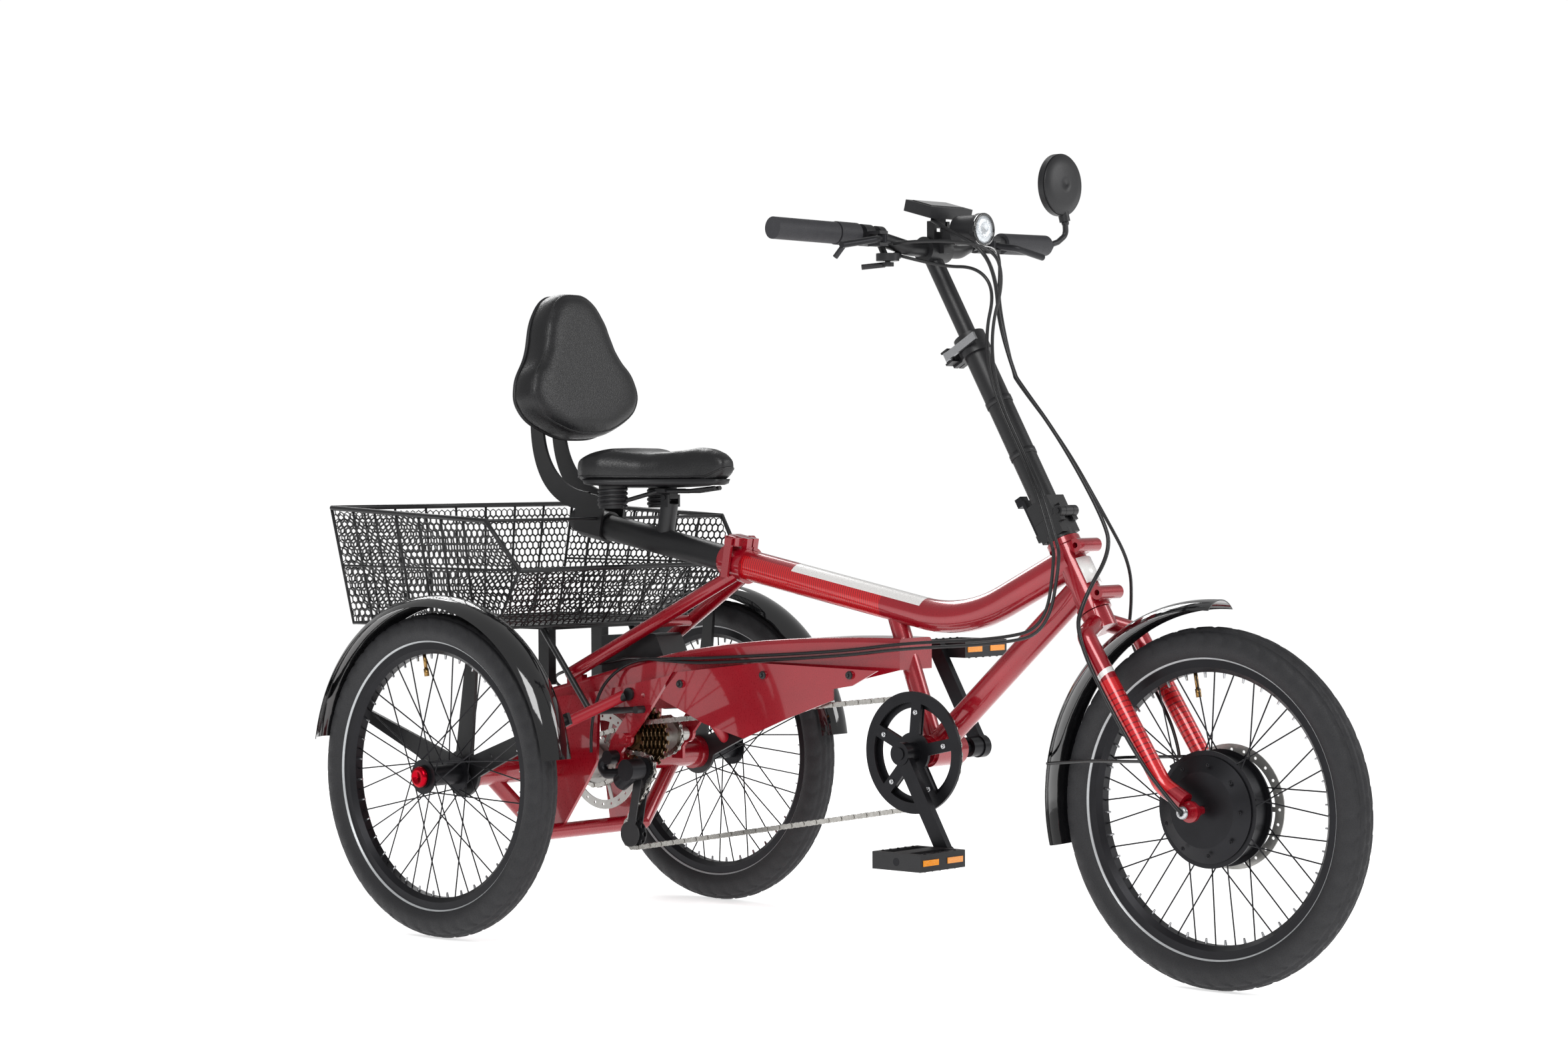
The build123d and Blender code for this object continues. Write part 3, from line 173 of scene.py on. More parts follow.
def axis_value(tree, x=0.0, y=0.0, z=0.0):
    """How far a surface point lies along a direction, in metres."""
    place = add(tree, "ShaderNodeTexCoord").outputs["Object"]
    product = add(tree, "ShaderNodeVectorMath", {0: place, 1: (x, y, z)}, operation="DOT_PRODUCT")
    return product.outputs["Value"]


def both(tree, first, second):
    """1 where two masks are 1."""
    return add(tree, "ShaderNodeMath", {0: first, 1: second}, operation="MULTIPLY").outputs[0]


def make_paints():
    """Every finish on the tricycle, by a short name."""
    made = {}
    # Candy enamel: a deep red under thick clear lacquer, so highlights are sharp and the body stays dark.
    candy = ("#A4001B", 0.3, 0.25, "#8C0016", 60, 3.0, 0.02, 1.0)
    made["red"] = finish("candy_red_enamel", *candy, spread=0.05)
    made["main"] = finish("candy_red_enamel_main_tube", *candy)
    made["fork"] = finish("candy_red_enamel_fork", *candy)
    # Powder coat: sprayed, baked, a faint orange peel and a broad soft highlight.
    made["satin"] = finish("black_powder_coat", "#131315", 0.42, 0.0, "#1B1B1D", 40, 1.2, 0.12, spread=0.06)
    made["bracket"] = finish("black_powder_coat_bracket", "#121214", 0.42, 0.0, "#1A1A1C", 40, 1.2, 0.12)
    # Pressed polycarbonate fender: nearly a black mirror with faint waves.
    made["gloss"] = finish("black_polycarbonate", "#08080A", 0.08, 0.0, "#0C0C0E", 80, 25.0, 0.04, coat=1.0,
                           spread=0.03)
    # Blasted and anodised aluminium: fine matt grain, dark grey edge light.
    made["anodised"] = finish("black_anodised_aluminium", "#17171A", 0.38, 0.6, "#222226", 25, 0.8, 0.1)
    made["alloy"] = finish("polished_aluminium", "#C9CACC", 0.22, 1.0, "#B2B3B6", 18, 1.5, 0.05)
    # Stamped stainless steel with the turning marks of a rubbed disc.
    made["steel"] = finish("stainless_sheet", "#C6C5C1", 0.34, 0.7, "#A9A8A5", 12, 0.9, 0.08)
    # Nickelled cogs under a film of old oil: brown where it gathers.
    made["cog"] = finish("oiled_cog_steel", "#8B7355", 0.32, 1.0, "#4E3F2E", 9, 1.0, 0.1)
    made["chain"] = finish("nickel_chain", "#C8C6C2", 0.26, 1.0, "#8F8C86", 5, 0.9, 0.06)
    # Vulcanised tyre rubber: dull, slightly grey where the mould's release bloomed.
    made["rubber"] = finish("tyre_rubber", "#17171A", 0.62, 0.0, "#232326", 22, 1.4, 0.25, spread=0.1)
    made["grip"] = finish("grip_rubber", "#26262A", 0.6, 0.0, "#323236", 14, 1.6, 0.45, spread=0.08)
    made["plastic"] = finish("moulded_nylon", "#141416", 0.45, 0.0, "#1E1E21", 20, 0.9, 0.2, spread=0.08)
    made["vinyl"] = finish("pebbled_vinyl", "#0F0F11", 0.4, 0.0, "#18181A", 28, 2.2, 0.35, spread=0.1)
    made["sheath"] = finish("cable_sheath", "#0E0E10", 0.35, 0.0, "#161618", 30, 2.0, 0.08)
    made["amber"] = finish("amber_reflector", "#F28A00", 0.18, 0.0, "#FFA51E", 4, 2.0, 0.5, coat=0.8)
    made["stripe"] = finish("reflective_tape", "#C9CCCE", 0.35, 0.3, "#B4B7B9", 6, 1.0, 0.15)
    made["white"] = finish("white_enamel", "#F2F2F0", 0.25, 0.0, "#E8E8E6", 20, 2.0, 0.03, coat=0.6)
    made["cap"] = finish("red_anodised_aluminium", "#C4001E", 0.22, 0.9, "#A80019", 8, 1.0, 0.05)
    made["glass"] = finish("clear_lens", "#E6EAEE", 0.06, 0.4, "#BFC6CC", 3, 3.0, 0.6, coat=1.0)
    made["screen"] = finish("display_glass", "#0A0C0E", 0.05, 0.0, "#101214", 30, 20.0, 0.01, coat=1.0)
    made["mirror"] = finish("silvered_glass", "#DDE2E4", 0.03, 1.0, "#D2D7DA", 40, 30.0, 0.01, spread=0.01)
    made["brass"] = finish("valve_brass", "#B08D57", 0.3, 1.0, "#8C6D3F", 5, 0.6, 0.1)

    # Printed bands on the main tube: a brighter red with fine dark cross lines, and a white flash on top.
    tree = made["main"].node_tree
    along = axis_value(tree, 0.9831, 0, -0.1830)
    height = axis_value(tree, 0.1830, 0, 0.9831)
    band = within(tree, along, 0.235, 0.545)
    side = within(tree, height, 0.60, 0.652)
    repaint(made["main"], "#D3121C", both(tree, band, side))
    place = add(tree, "ShaderNodeTexCoord").outputs["Object"]
    comb = add(tree, "ShaderNodeTexWave", {"Vector": place, "Scale": 75.0}, wave_type="BANDS",
               bands_direction="X")
    lines = within(tree, comb.outputs["Fac"], 0.86, 2.0)
    repaint(made["main"], "#7A0010", both(tree, lines, both(tree, band, side)))
    flash = both(tree, within(tree, height, 0.648, 0.70), within(tree, along, 0.36, 0.62))
    repaint(made["main"], "#F4F2F0", flash)

    # Fork legs: a white slash, then brighter red with fine dark rings towards the axle.
    tree = made["fork"].node_tree
    down = axis_value(tree, 0.5, 0, -0.8660)
    lower = within(tree, down, 0.1835, 0.365)
    repaint(made["fork"], "#D3121C", lower)
    rings = add(tree, "ShaderNodeMath", {0: down, 1: 0.0085}, operation="MODULO").outputs[0]
    ringed = both(tree, within(tree, rings, 0.0, 0.0022), within(tree, down, 0.20, 0.32))
    repaint(made["fork"], "#8A0014", ringed)
    slant = axis_value(tree, 0.25, 0.0, 0.15)
    slash = add(tree, "ShaderNodeMath", {0: down, 1: slant}, operation="ADD").outputs[0]
    repaint(made["fork"], "#F4F2F0", within(tree, slash, 0.512, 0.520))

    # The braces between fender bracket and side plate are red on a black bracket.
    tree = made["bracket"].node_tree
    away = add(tree, "ShaderNodeMath", {0: axis_value(tree, 0, 1, 0)}, operation="ABSOLUTE").outputs[0]
    behind = within(tree, axis_value(tree, 1, 0, 0), -1, 0.172)
    repaint(made["bracket"], "#A4001B", both(tree, within(tree, away, 0.079, 0.2635), behind))
    return made


# ---------------------------------------------------------------- making meshes
def mesh_object(name, points, faces, material=None, smooth=True):
    """An object at the origin from points and faces, with its normals turned outwards."""
    mesh = bpy.data.meshes.new(name)
    mesh.from_pydata([tuple(p) for p in points], [], faces)
    shape = bmesh.new()
    shape.from_mesh(mesh)
    bmesh.ops.remove_doubles(shape, verts=shape.verts, dist=1e-6)
    bmesh.ops.recalc_face_normals(shape, faces=shape.faces)
    shape.to_mesh(mesh)
    shape.free()
    for face in mesh.polygons:
        face.use_smooth = smooth
    thing = bpy.data.objects.new(name, mesh)
    bpy.context.scene.collection.objects.link(thing)
    if material:
        mesh.materials.append(material)
    return thing


def tube(points, radius, sides=10, closed=False):
    """Points and faces of a round tube along a path, with capped ends."""
    path = [Vector(p) for p in points]
    rows, side = [], None
    for i, here in enumerate(path):
        before = path[i - 1] if i or closed else here
        after = path[(i + 1) % len(path)] if i + 1 < len(path) or closed else here
        way = (after - before).normalized()
        if side is None:
            side = way.orthogonal().normalized()
        side = (side - way * side.dot(way)).normalized()
        other = way.cross(side)
        rows.append([here + (side * math.cos(a) + other * math.sin(a)) * radius
                     for a in (2 * math.pi * k / sides for k in range(sides))])
    verts = [p for row in rows for p in row]
    faces = []
    for i in range(len(rows) if closed else len(rows) - 1):
        j = (i + 1) % len(rows)
        for k in range(sides):
            m = (k + 1) % sides
            faces.append((i * sides + k, i * sides + m, j * sides + m, j * sides + k))
    if not closed:
        faces += [tuple(range(sides)), tuple(range((len(rows) - 1) * sides, len(rows) * sides))]
    return verts, faces


def gathered(parts):
    """Several lots of points and faces as one."""
    verts, faces = [], []
    for more, sides in parts:
        faces += [tuple(i + len(verts) for i in face) for face in sides]
        verts += list(more)
    return verts, faces


def lathe(profile, centre, axis="Y", steps=48):
    """Points and faces of a closed profile of (radius, across) turned about an axis through a centre."""
    verts, faces, count = [], [], len(profile)
    for i in range(steps):
        angle = 2 * math.pi * i / steps
        for radius, across in profile:
            flat = (radius * math.cos(angle), radius * math.sin(angle))
            spot = {"Y": (flat[0], across, flat[1]), "X": (across, *flat), "Z": (*flat, across)}[axis]
            verts.append(Vector(centre) + Vector(spot))
    for i in range(steps):
        j = (i + 1) % steps
        for k in range(count):
            m = (k + 1) % count
            faces.append((i * count + k, i * count + m, j * count + m, j * count + k))
    return verts, faces


def prism(outline, low, high):
    """Points and faces of a flat outline in x and y between two heights."""
    n = len(outline)
    verts = [Vector((x, y, low)) for x, y in outline] + [Vector((x, y, high)) for x, y in outline]
    faces = [tuple(range(n)), tuple(range(n, 2 * n))]
    faces += [(i, (i + 1) % n, n + (i + 1) % n, n + i) for i in range(n)]
    return verts, faces


def repeat_tree():
    """Geometry nodes that put a model on every point, turned to the point's facing and across directions."""
    tree = bpy.data.node_groups.new("repeat_on_points", "GeometryNodeTree")
    sockets = (("Geometry", "INPUT"), ("Object", "INPUT"), ("Float", "INPUT"), ("Material", "INPUT"),
               ("Geometry", "OUTPUT"))
    for (kind, flow), name in zip(sockets, ("Geometry", "Model", "Size", "Material", "Geometry")):
        tree.interface.new_socket(name=name, in_out=flow, socket_type="NodeSocket" + kind)
    given = add(tree, "NodeGroupInput")
    model = add(tree, "GeometryNodeObjectInfo", {"Object": given.outputs["Model"], "As Instance": True})
    turn = None
    for attribute, axis, pivot in (("facing", "Z", "AUTO"), ("across", "X", "Z")):
        way = add(tree, "GeometryNodeInputNamedAttribute", {"Name": attribute}, data_type="FLOAT_VECTOR")
        links = {"Vector": way.outputs["Attribute"]}
        if turn:
            links["Rotation"] = turn
        aligned = add(tree, "FunctionNodeAlignRotationToVector", links, axis=axis, pivot_axis=pivot)
        turn = aligned.outputs["Rotation"]
    scale = add(tree, "ShaderNodeCombineXYZ", {axis: given.outputs["Size"] for axis in "XYZ"}).outputs[0]
    copies = add(tree, "GeometryNodeInstanceOnPoints", {
        "Points": given.outputs["Geometry"], "Instance": model.outputs["Geometry"], "Rotation": turn,
        "Scale": scale})
    real = add(tree, "GeometryNodeRealizeInstances", {"Geometry": copies.outputs["Instances"]})
    painted = add(tree, "GeometryNodeSetMaterial", {"Geometry": real.outputs["Geometry"],
                                                    "Material": given.outputs["Material"]})
    add(tree, "NodeGroupOutput", {"Geometry": painted.outputs["Geometry"]})
    return tree


def repeat(name, spots, model, material, body, size=1.0, smooth=False):
    """One piece made of a model set on many spots of (place, facing, across), riding on a body."""
    mesh = bpy.data.meshes.new(name + "_spots")
    mesh.from_pydata([tuple(p) for p, _, _ in spots], [], [])
    for key, index in (("facing", 1), ("across", 2)):
        ways = mesh.attributes.new(key, "FLOAT_VECTOR", "POINT")
        for i, spot in enumerate(spots):
            ways.data[i].vector = spot[index]
    carrier = bpy.data.objects.new(name + "_spots", mesh)
    bpy.context.scene.collection.objects.link(carrier)
    pattern = mesh_object(name + "_model", *model, smooth=smooth)
    modifier = carrier.modifiers.new("repeat", "NODES")
    modifier.node_group = REPEAT
    for item in REPEAT.interface.items_tree:
        value = {"Model": pattern, "Size": size, "Material": material}.get(item.name)
        if value is not None and item.in_out == "INPUT":
            modifier[item.identifier] = value
    bpy.context.view_layer.update()
    evaluated = carrier.evaluated_get(bpy.context.evaluated_depsgraph_get())
    result = bpy.data.meshes.new_from_object(evaluated)
    piece = bpy.data.objects.new(name, result)
    bpy.context.scene.collection.objects.link(piece)
    for helper in (carrier, pattern):
        bpy.data.objects.remove(helper, do_unlink=True)
    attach(piece, body)
    return piece


def piece(name, shape, material, body, smooth=True, slot=None):
    """A finished piece that rides on a body."""
    made = mesh_object(name, *shape, material, smooth)
    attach(made, body)
    return made


# ---------------------------------------------------------------- wheels
def make_tyre(name, x, y, body):
    """A balloon tyre with ribbed tread and a light ring on each wall, turned about its axle."""
    section, steps = 25 * MM, 288
    half = (4, 11, 14, 20, 28, 35, 38, 44, 52, 60, 68, 80, 94, 108, 122, 134.5, 142.5, 150, 158)
    angles = [math.radians(a) for a in (*(-a for a in reversed(half)), *half)]
    verts, faces = [], []
    for i in range(steps):
        turn = 2 * math.pi * i / steps
        for lean in angles:
            depth = 0.0
            degrees = abs(math.degrees(lean))
            if 11 <= degrees <= 14 or 35 <= degrees <= 38:
                depth = 2.0 * MM
            elif degrees <= 60 and (i + int(degrees / 9)) % 6 == 0:
                depth = 1.7 * MM
            elif 60 < degrees < 82 and i % 6 < 2:
                depth = 1.0 * MM
            radius = WHEEL_R - section + (section - depth) * math.cos(lean)
            verts.append((x + radius * math.cos(turn), y + (section - depth) * math.sin(lean),
                          WHEEL_R + radius * math.sin(turn)))
    n = len(angles)
    for i in range(steps):
        j = (i + 1) % steps
        for k in range(n):
            m = (k + 1) % n
            faces.append((i * n + k, i * n + m, j * n + m, j * n + k))
    tyre = piece(name, (verts, faces), PAINT["rubber"], body, slot="tyre_rubber")
    tyre.data.materials.append(PAINT["stripe"])
    for face in tyre.data.polygons:
        middle = face.center
        out = math.hypot(middle.x - x, middle.z - WHEEL_R)
        if abs(middle.y - y) > 12 * MM and 207.4 * MM < out < 211.2 * MM:
            face.material_index = 1
    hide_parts(name.replace("_skin", ""))
    return tyre


def dress_wheel(side, x, y, body):
    """Nipples and a valve for one wheel."""
    spots = []
    for i in range(SPOKES):
        angle = 2 * math.pi * (i + 0.5) / SPOKES
        out = Vector((math.cos(angle), 0, math.sin(angle)))
        spots.append((Vector((x, y, WHEEL_R)) + out * 182 * MM, out, Vector((0, 1, 0))))
    outline = ((0.4, 0), (1.5, 0), (2.1, 5), (2.4, 11), (0.4, 11))
    nipple = lathe([(radius * MM, along * MM) for radius, along in outline], (0, 0, 0), "Z", 8)
    repeat(f"{side}_nipples", spots, nipple, PAINT["alloy"], body)
    lean = math.radians(100)
    foot = Vector((x + 156 * MM * math.cos(lean), y, WHEEL_R + 156 * MM * math.sin(lean)))
    out = Vector((math.cos(lean), 0, math.sin(lean)))
    collar, tip = foot + out * 12 * MM, foot + out * 36 * MM
    stem = gathered([tube([foot, collar], 4 * MM, 12), tube([collar, tip], 2.8 * MM, 12)])
    piece(f"{side}_valve", stem, PAINT["brass"], body)


# ---------------------------------------------------------------- chains
def pitch_radius(teeth):
    """The pitch radius of a chain sprocket."""
    return CHAIN_PITCH / (2 * math.sin(math.pi / teeth))


def chain_path(wheels):
    """Points one pitch apart round wheels of (x, z, teeth, way round)."""
    ends = []
    for (x0, z0, t0, w0), (x1, z1, t1, w1) in zip(wheels, wheels[1:] + wheels[:1]):
        r0, r1 = w0 * pitch_radius(t0), w1 * pitch_radius(t1)
        turn = math.atan2(z1 - z0, x1 - x0) - math.acos((r0 - r1) / math.hypot(x1 - x0, z1 - z0))
        out = (math.cos(turn), math.sin(turn))
        ends.append(((x0 + r0 * out[0], z0 + r0 * out[1]), (x1 + r1 * out[0], z1 + r1 * out[1])))
    line = []
    for number, (x, z, teeth, way) in enumerate(wheels):
        arrive, leave = ends[number - 1][1], ends[number][0]
        begin = math.atan2(arrive[1] - z, arrive[0] - x)
        wrap = (way * (math.atan2(leave[1] - z, leave[0] - x) - begin)) % (2 * math.pi)
        radius = pitch_radius(teeth)
        for k in range(25):
            angle = begin + way * wrap * k / 24
            line.append((x + radius * math.cos(angle), z + radius * math.sin(angle)))
    line.append(line[0])
    lengths = [0.0]
    for a, b in zip(line, line[1:]):
        lengths.append(lengths[-1] + math.dist(a, b))
    count = 2 * round(lengths[-1] / CHAIN_PITCH / 2)
    spots, k = [], 0
    for i in range(count):
        target = lengths[-1] * i / count
        while lengths[k + 1] < target:
            k += 1
        share = (target - lengths[k]) / max(lengths[k + 1] - lengths[k], 1e-9)
        spots.append(tuple(a + (b - a) * share for a, b in zip(line[k], line[k + 1])))
    return spots


def link_model(half_gap, plate):
    """One chain link along X: two waisted plates and the roller at its first pin."""
    outline = []
    for centre, start in ((CHAIN_PITCH / 2, -100), (-CHAIN_PITCH / 2, 80)):
        for turn in range(0, 201, 40):
            angle = math.radians(start + turn)
            outline.append((centre + 4.1 * MM * math.cos(angle), 4.1 * MM * math.sin(angle)))
        outline.append((0, (1 if centre > 0 else -1) * 2.9 * MM))
    plates = [prism(outline, low, low + plate) for low in (half_gap, -half_gap - plate)]
    roller = lathe([(0.5 * MM, -half_gap), (3.8 * MM, -half_gap), (3.8 * MM, half_gap), (0.5 * MM, half_gap)],
                   (-CHAIN_PITCH / 2, 0, 0), "Z", 10)
    return gathered(plates + [roller])


def make_chain(name, wheels, y, node):
    """A roller chain of inner and outer links laid round its sprockets."""
    points = chain_path(wheels)
    for kind, first, gap in (("outer", 0, 2.6 * MM), ("inner", 1, 1.5 * MM)):
        spots = []
        for i in range(first, len(points), 2):
            a, b = points[i], points[(i + 1) % len(points)]
            middle = Vector(((a[0] + b[0]) / 2, y, (a[1] + b[1]) / 2))
            spots.append((middle, Vector((0, 1, 0)), Vector((b[0] - a[0], 0, b[1] - a[1])).normalized()))
        made = repeat(f"{name}_{kind}_links", spots, link_model(gap, 0.9 * MM), PAINT["chain"], "frame")
        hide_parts(node)


# ---------------------------------------------------------------- basket
BASKET_SIDE = [(-304, 668), (57, 649), (116, 572), (41, 480), (-298, 480)]


def basket_corner(x, z, side):
    """A point of a basket side, which leans out as it rises, from its distance forward and height in mm."""
    return Vector((x, side * (233 + 40 * (z - 480) / 188), z)) * MM


def hex_spots(origin, along, up, inside, span):
    """Places of hexagonal cells over a flat panel, where a test of the two distances allows them."""
    pitch = 13 * MM
    spots = []
    across, rise = pitch, pitch * 0.8660
    facing = along.cross(up).normalized()
    for row in range(int(span[1] / rise) + 1):
        for column in range(int(span[0] / across) + 2):
            u = (column + (row % 2) / 2) * across
            v = (row + 0.5) * rise
            if inside(u, v):
                spots.append((origin + along * u + up * v, facing, along))
    return spots


def inside_outline(outline, margin):
    """A test for points inside a flat outline, standing off its edges by a margin."""
    def test(u, v):
        for (x0, y0), (x1, y1) in zip(outline, outline[1:] + outline[:1]):
            length = math.hypot(x1 - x0, y1 - y0)
            if ((x1 - x0) * (v - y0) - (y1 - y0) * (u - x0)) / length < margin:
                return False
        return True
    return test


def flat_panel(corners, first, second):
    """An origin, two square directions and the flat outline of a panel given by its corners."""
    origin, along = corners[first], (corners[second] - corners[first]).normalized()
    normal = along.cross(corners[(second + 1) % len(corners)] - origin).normalized()
    up = normal.cross(along).normalized()
    outline = [((c - origin).dot(along), (c - origin).dot(up)) for c in corners]
    return origin, along, up, outline


def panel_cells(corners):
    """Cell places over one basket panel, whose corners run anticlockwise from its low left one."""
    origin, along, up, outline = flat_panel(corners, 0, 1)
    low = min(u for u, _ in outline)
    moved = [(u - low, v) for u, v in outline]
    span = (max(u for u, _ in moved), max(v for _, v in moved))
    return hex_spots(origin + along * low, along, up, inside_outline(moved, 5.2 * MM), span)


def make_basket():
    """The rear basket: expanded steel sheet behind a wire frame."""
    right = [basket_corner(x, z, -1) for x, z in BASKET_SIDE]
    left = [basket_corner(x, z, 1) for x, z in BASKET_SIDE]
    floor = panel_cells([left[4], right[4], right[3], left[3]])
    walls = panel_cells([right[4], right[3], right[2], right[1], right[0]])
    walls += panel_cells([left[3], left[4], left[0], left[1], left[2]])
    walls += panel_cells([left[4], right[4], right[0], left[0]])
    walls += panel_cells([right[3], left[3], left[2], right[2]])
    ring_out, ring_in, half = 7.5 * MM, 5.9 * MM, 0.5 * MM
    outer = [(math.cos(math.radians(60 * k + 30)), math.sin(math.radians(60 * k + 30))) for k in range(6)]
    verts = [Vector((x * r, y * r, z)) for r, z in ((ring_out, -half), (ring_in, -half), (ring_in, half),
                                                    (ring_out, half)) for x, y in outer]
    faces = [(a * 6 + k, a * 6 + (k + 1) % 6, b * 6 + (k + 1) % 6, b * 6 + k)
             for a, b in ((0, 1), (1, 2), (2, 3), (3, 0)) for k in range(6)]
    for name, spots in (("basket_floor_mesh", floor), ("basket_wall_mesh", walls)):
        sheet = repeat(name, spots, (verts, faces), PAINT["satin"], "frame")
        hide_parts("basket")
    wires = []
    for ring in (right, left):
        wires.append(tube([*ring, ring[0]], 2.6 * MM, 8))
        wires.append(tube(ring[:3], 4 * MM, 10))
    for k in range(5):
        wires.append(tube([right[k], left[k]], 4 * MM if k in (0, 2) else 2.6 * MM, 8))
    for side in (-1, 1):
        for k in range(1, 7):
            low = basket_corner(-298 + 339 * k / 7, 480, side)
            high = basket_corner(-304 + 361 * k / 7, 668 - 19 * k / 7, side)
            wires.append(tube([low, high], 2 * MM, 6))
        wires.append(tube([basket_corner(-301, 574, side), basket_corner(116, 572, side)], 2 * MM, 6))
    for k in range(1, 8):
        share = k / 8
        ends = [right[i].lerp(left[i], share) for i in (0, 4, 3, 2)]
        wires.append(tube(ends, 2 * MM, 6))
    frame_wires = piece("basket_wires", gathered(wires), PAINT["satin"], "frame", slot="black_satin")
    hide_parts("basket")


# ---------------------------------------------------------------- saddle and backrest
def inflate(thing, voxel, pressure, cap):
    """Swells a closed pad as its filling does, and stops every point at a cap."""
    remesh = thing.modifiers.new("even", "REMESH")
    remesh.mode, remesh.voxel_size = "VOXEL", voxel
    graph = bpy.context.evaluated_depsgraph_get()
    even = bpy.data.meshes.new_from_object(thing.evaluated_get(graph))
    thing.modifiers.clear()
    thing.data = even
    rest = [v.co.copy() for v in even.vertices]
    cloth = thing.modifiers.new("cloth", "CLOTH")
    cloth.settings.use_pressure, cloth.settings.uniform_pressure_force = True, pressure
    cloth.settings.effector_weights.gravity = 0
    cloth.settings.quality = 4
    cloth.point_cache.frame_start, cloth.point_cache.frame_end = 1, 20
    for step in range(1, 21):
        bpy.context.scene.frame_set(step)
    graph = bpy.context.evaluated_depsgraph_get()
    swollen = bpy.data.meshes.new_from_object(thing.evaluated_get(graph))
    thing.modifiers.clear()
    bpy.context.scene.frame_set(1)
    for vertex, start in zip(swollen.vertices, rest):
        move = vertex.co - start
        if move.length > cap:
            vertex.co = start + move.normalized() * cap
    thing.data = swollen
    shape = bmesh.new()
    shape.from_mesh(thing.data)
    for _ in range(4):
        bmesh.ops.smooth_vert(shape, verts=shape.verts, factor=0.5,
                              use_axis_x=True, use_axis_y=True, use_axis_z=True)
    shape.to_mesh(thing.data)
    shape.free()
    for face in thing.data.polygons:
        face.use_smooth = True


def ring_pad(rings):
    """Points and faces of a closed form lofted through rings of equal count, with fanned ends."""
    count = len(rings[0])
    verts = [p for ring in rings for p in ring]
    faces = []
    for i in range(len(rings) - 1):
        here, there = i * count, (i + 1) * count
        for k in range(count):
            after = (k + 1) % count
            faces.append((here + k, here + after, there + after, there + k))
    for ring, offset in ((rings[0], 0), (rings[-1], (len(rings) - 1) * count)):
        verts.append(sum(ring, Vector()) / count)
        faces += [(offset + k, offset + (k + 1) % count, len(verts) - 1) for k in range(count)]
    return verts, faces


def smooth_through(points, count, closed=True):
    """Evenly placed points on a smooth curve through the given ones."""
    data = bpy.data.curves.new("guide", "CURVE")
    data.dimensions, data.resolution_u = "3D", 16
    spline = data.splines.new("BEZIER")
    spline.bezier_points.add(len(points) - 1)
    for knot, spot in zip(spline.bezier_points, points):
        knot.co = spot
        knot.handle_left_type = knot.handle_right_type = "AUTO"
    spline.use_cyclic_u = closed
    thing = bpy.data.objects.new("guide", data)
    bpy.context.scene.collection.objects.link(thing)
    line = bpy.data.meshes.new_from_object(thing.evaluated_get(bpy.context.evaluated_depsgraph_get()))
    dense = [v.co.copy() for v in line.vertices]
    bpy.data.objects.remove(thing, do_unlink=True)
    if closed:
        dense.append(dense[0])
    lengths = [0.0]
    for a, b in zip(dense, dense[1:]):
        lengths.append(lengths[-1] + (b - a).length)
    out, k = [], 0
    for i in range(count):
        target = lengths[-1] * i / (count if closed else count - 1)
        while k < len(lengths) - 2 and lengths[k + 1] < target:
            k += 1
        share = (target - lengths[k]) / max(lengths[k + 1] - lengths[k], 1e-9)
        out.append(dense[k].lerp(dense[k + 1], share))
    return out


def laid_on(pad, line):
    """The same line, laid on the nearest places of a pad's surface."""
    points, faces = [v.co for v in pad.data.vertices], [tuple(f.vertices) for f in pad.data.polygons]
    surface = BVHTree.FromPolygons(points, faces)
    return [surface.find_nearest(point)[0] for point in line]


SADDLE_STATIONS = (  # distance forward, half width, top at the middle, underside, all in mm
    (66, 66, 742, 708), (76, 94, 752, 704), (98, 106, 757, 703), (124, 99, 757, 703), (150, 80, 752, 703),
    (178, 58, 750, 703), (206, 42, 751, 703), (236, 31, 753, 704), (266, 26, 757, 705), (292, 24, 759, 706),
    (312, 21, 754, 712), (326, 15, 745, 722),
)


def make_saddle():
    """A sprung comfort saddle: wide wings, a dished middle and a seam round its skirt."""
    rings = []
    for x, half, top, under in SADDLE_STATIONS:
        ring = []
        for k in range(28):
            angle = 2 * math.pi * k / 28
            y = half * math.copysign(abs(math.cos(angle)) ** 0.75, math.cos(angle))
            lift = math.sin(angle)
            middle = under + (top - under) * 0.45
            z = middle + (top - middle) * abs(lift) ** 0.7 if lift > 0 else middle + (middle - under) * -(
                abs(lift) ** 0.5)
            wing = max(0.0, abs(y) / half - 0.35) * (7 if x < 170 else 0) * (lift > 0)
            ring.append(Vector((x, y * 0.97, z + wing)) * MM)
        rings.append(ring)
    pad = mesh_object("saddle_cover", *ring_pad(rings), PAINT["vinyl"])
    inflate(pad, 4 * MM, 4.0, 5 * MM)
    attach(pad, "saddle")
    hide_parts("saddle")
    springs = [coil((0.124, side * 0.056, 0.668), 21.5 * MM, 31 * MM, 4.5, 3.1 * MM) for side in (-1, 1)]
    piece("saddle_springs", gathered(springs), PAINT["plastic"], "saddle", slot="black_plastic")
    skirt = [(x, half - 1.0) for x, half, _, _ in SADDLE_STATIONS]
    loop = [Vector((x, h, 714 + max(0, x - 285) * 0.35)) * MM for x, h in skirt]
    loop += [Vector((p.x, -p.y, p.z)) for p in reversed(loop)]
    seam = smooth_through(loop, 150)
    welt = tube(laid_on(pad, seam), 1.6 * MM, 8, True)
    piece("saddle_welt", welt, PAINT["vinyl"], "saddle", slot="black_vinyl")
    base = [[Vector((0.19 + (p.x - 0.19) * share, p.y * share, height)) for p in seam]
            for share, height in ((0.84, 0.7025), (0.9, 0.705), (0.92, 0.712))]
    piece("saddle_base", ring_pad(base), PAINT["plastic"], "saddle", slot="black_plastic")


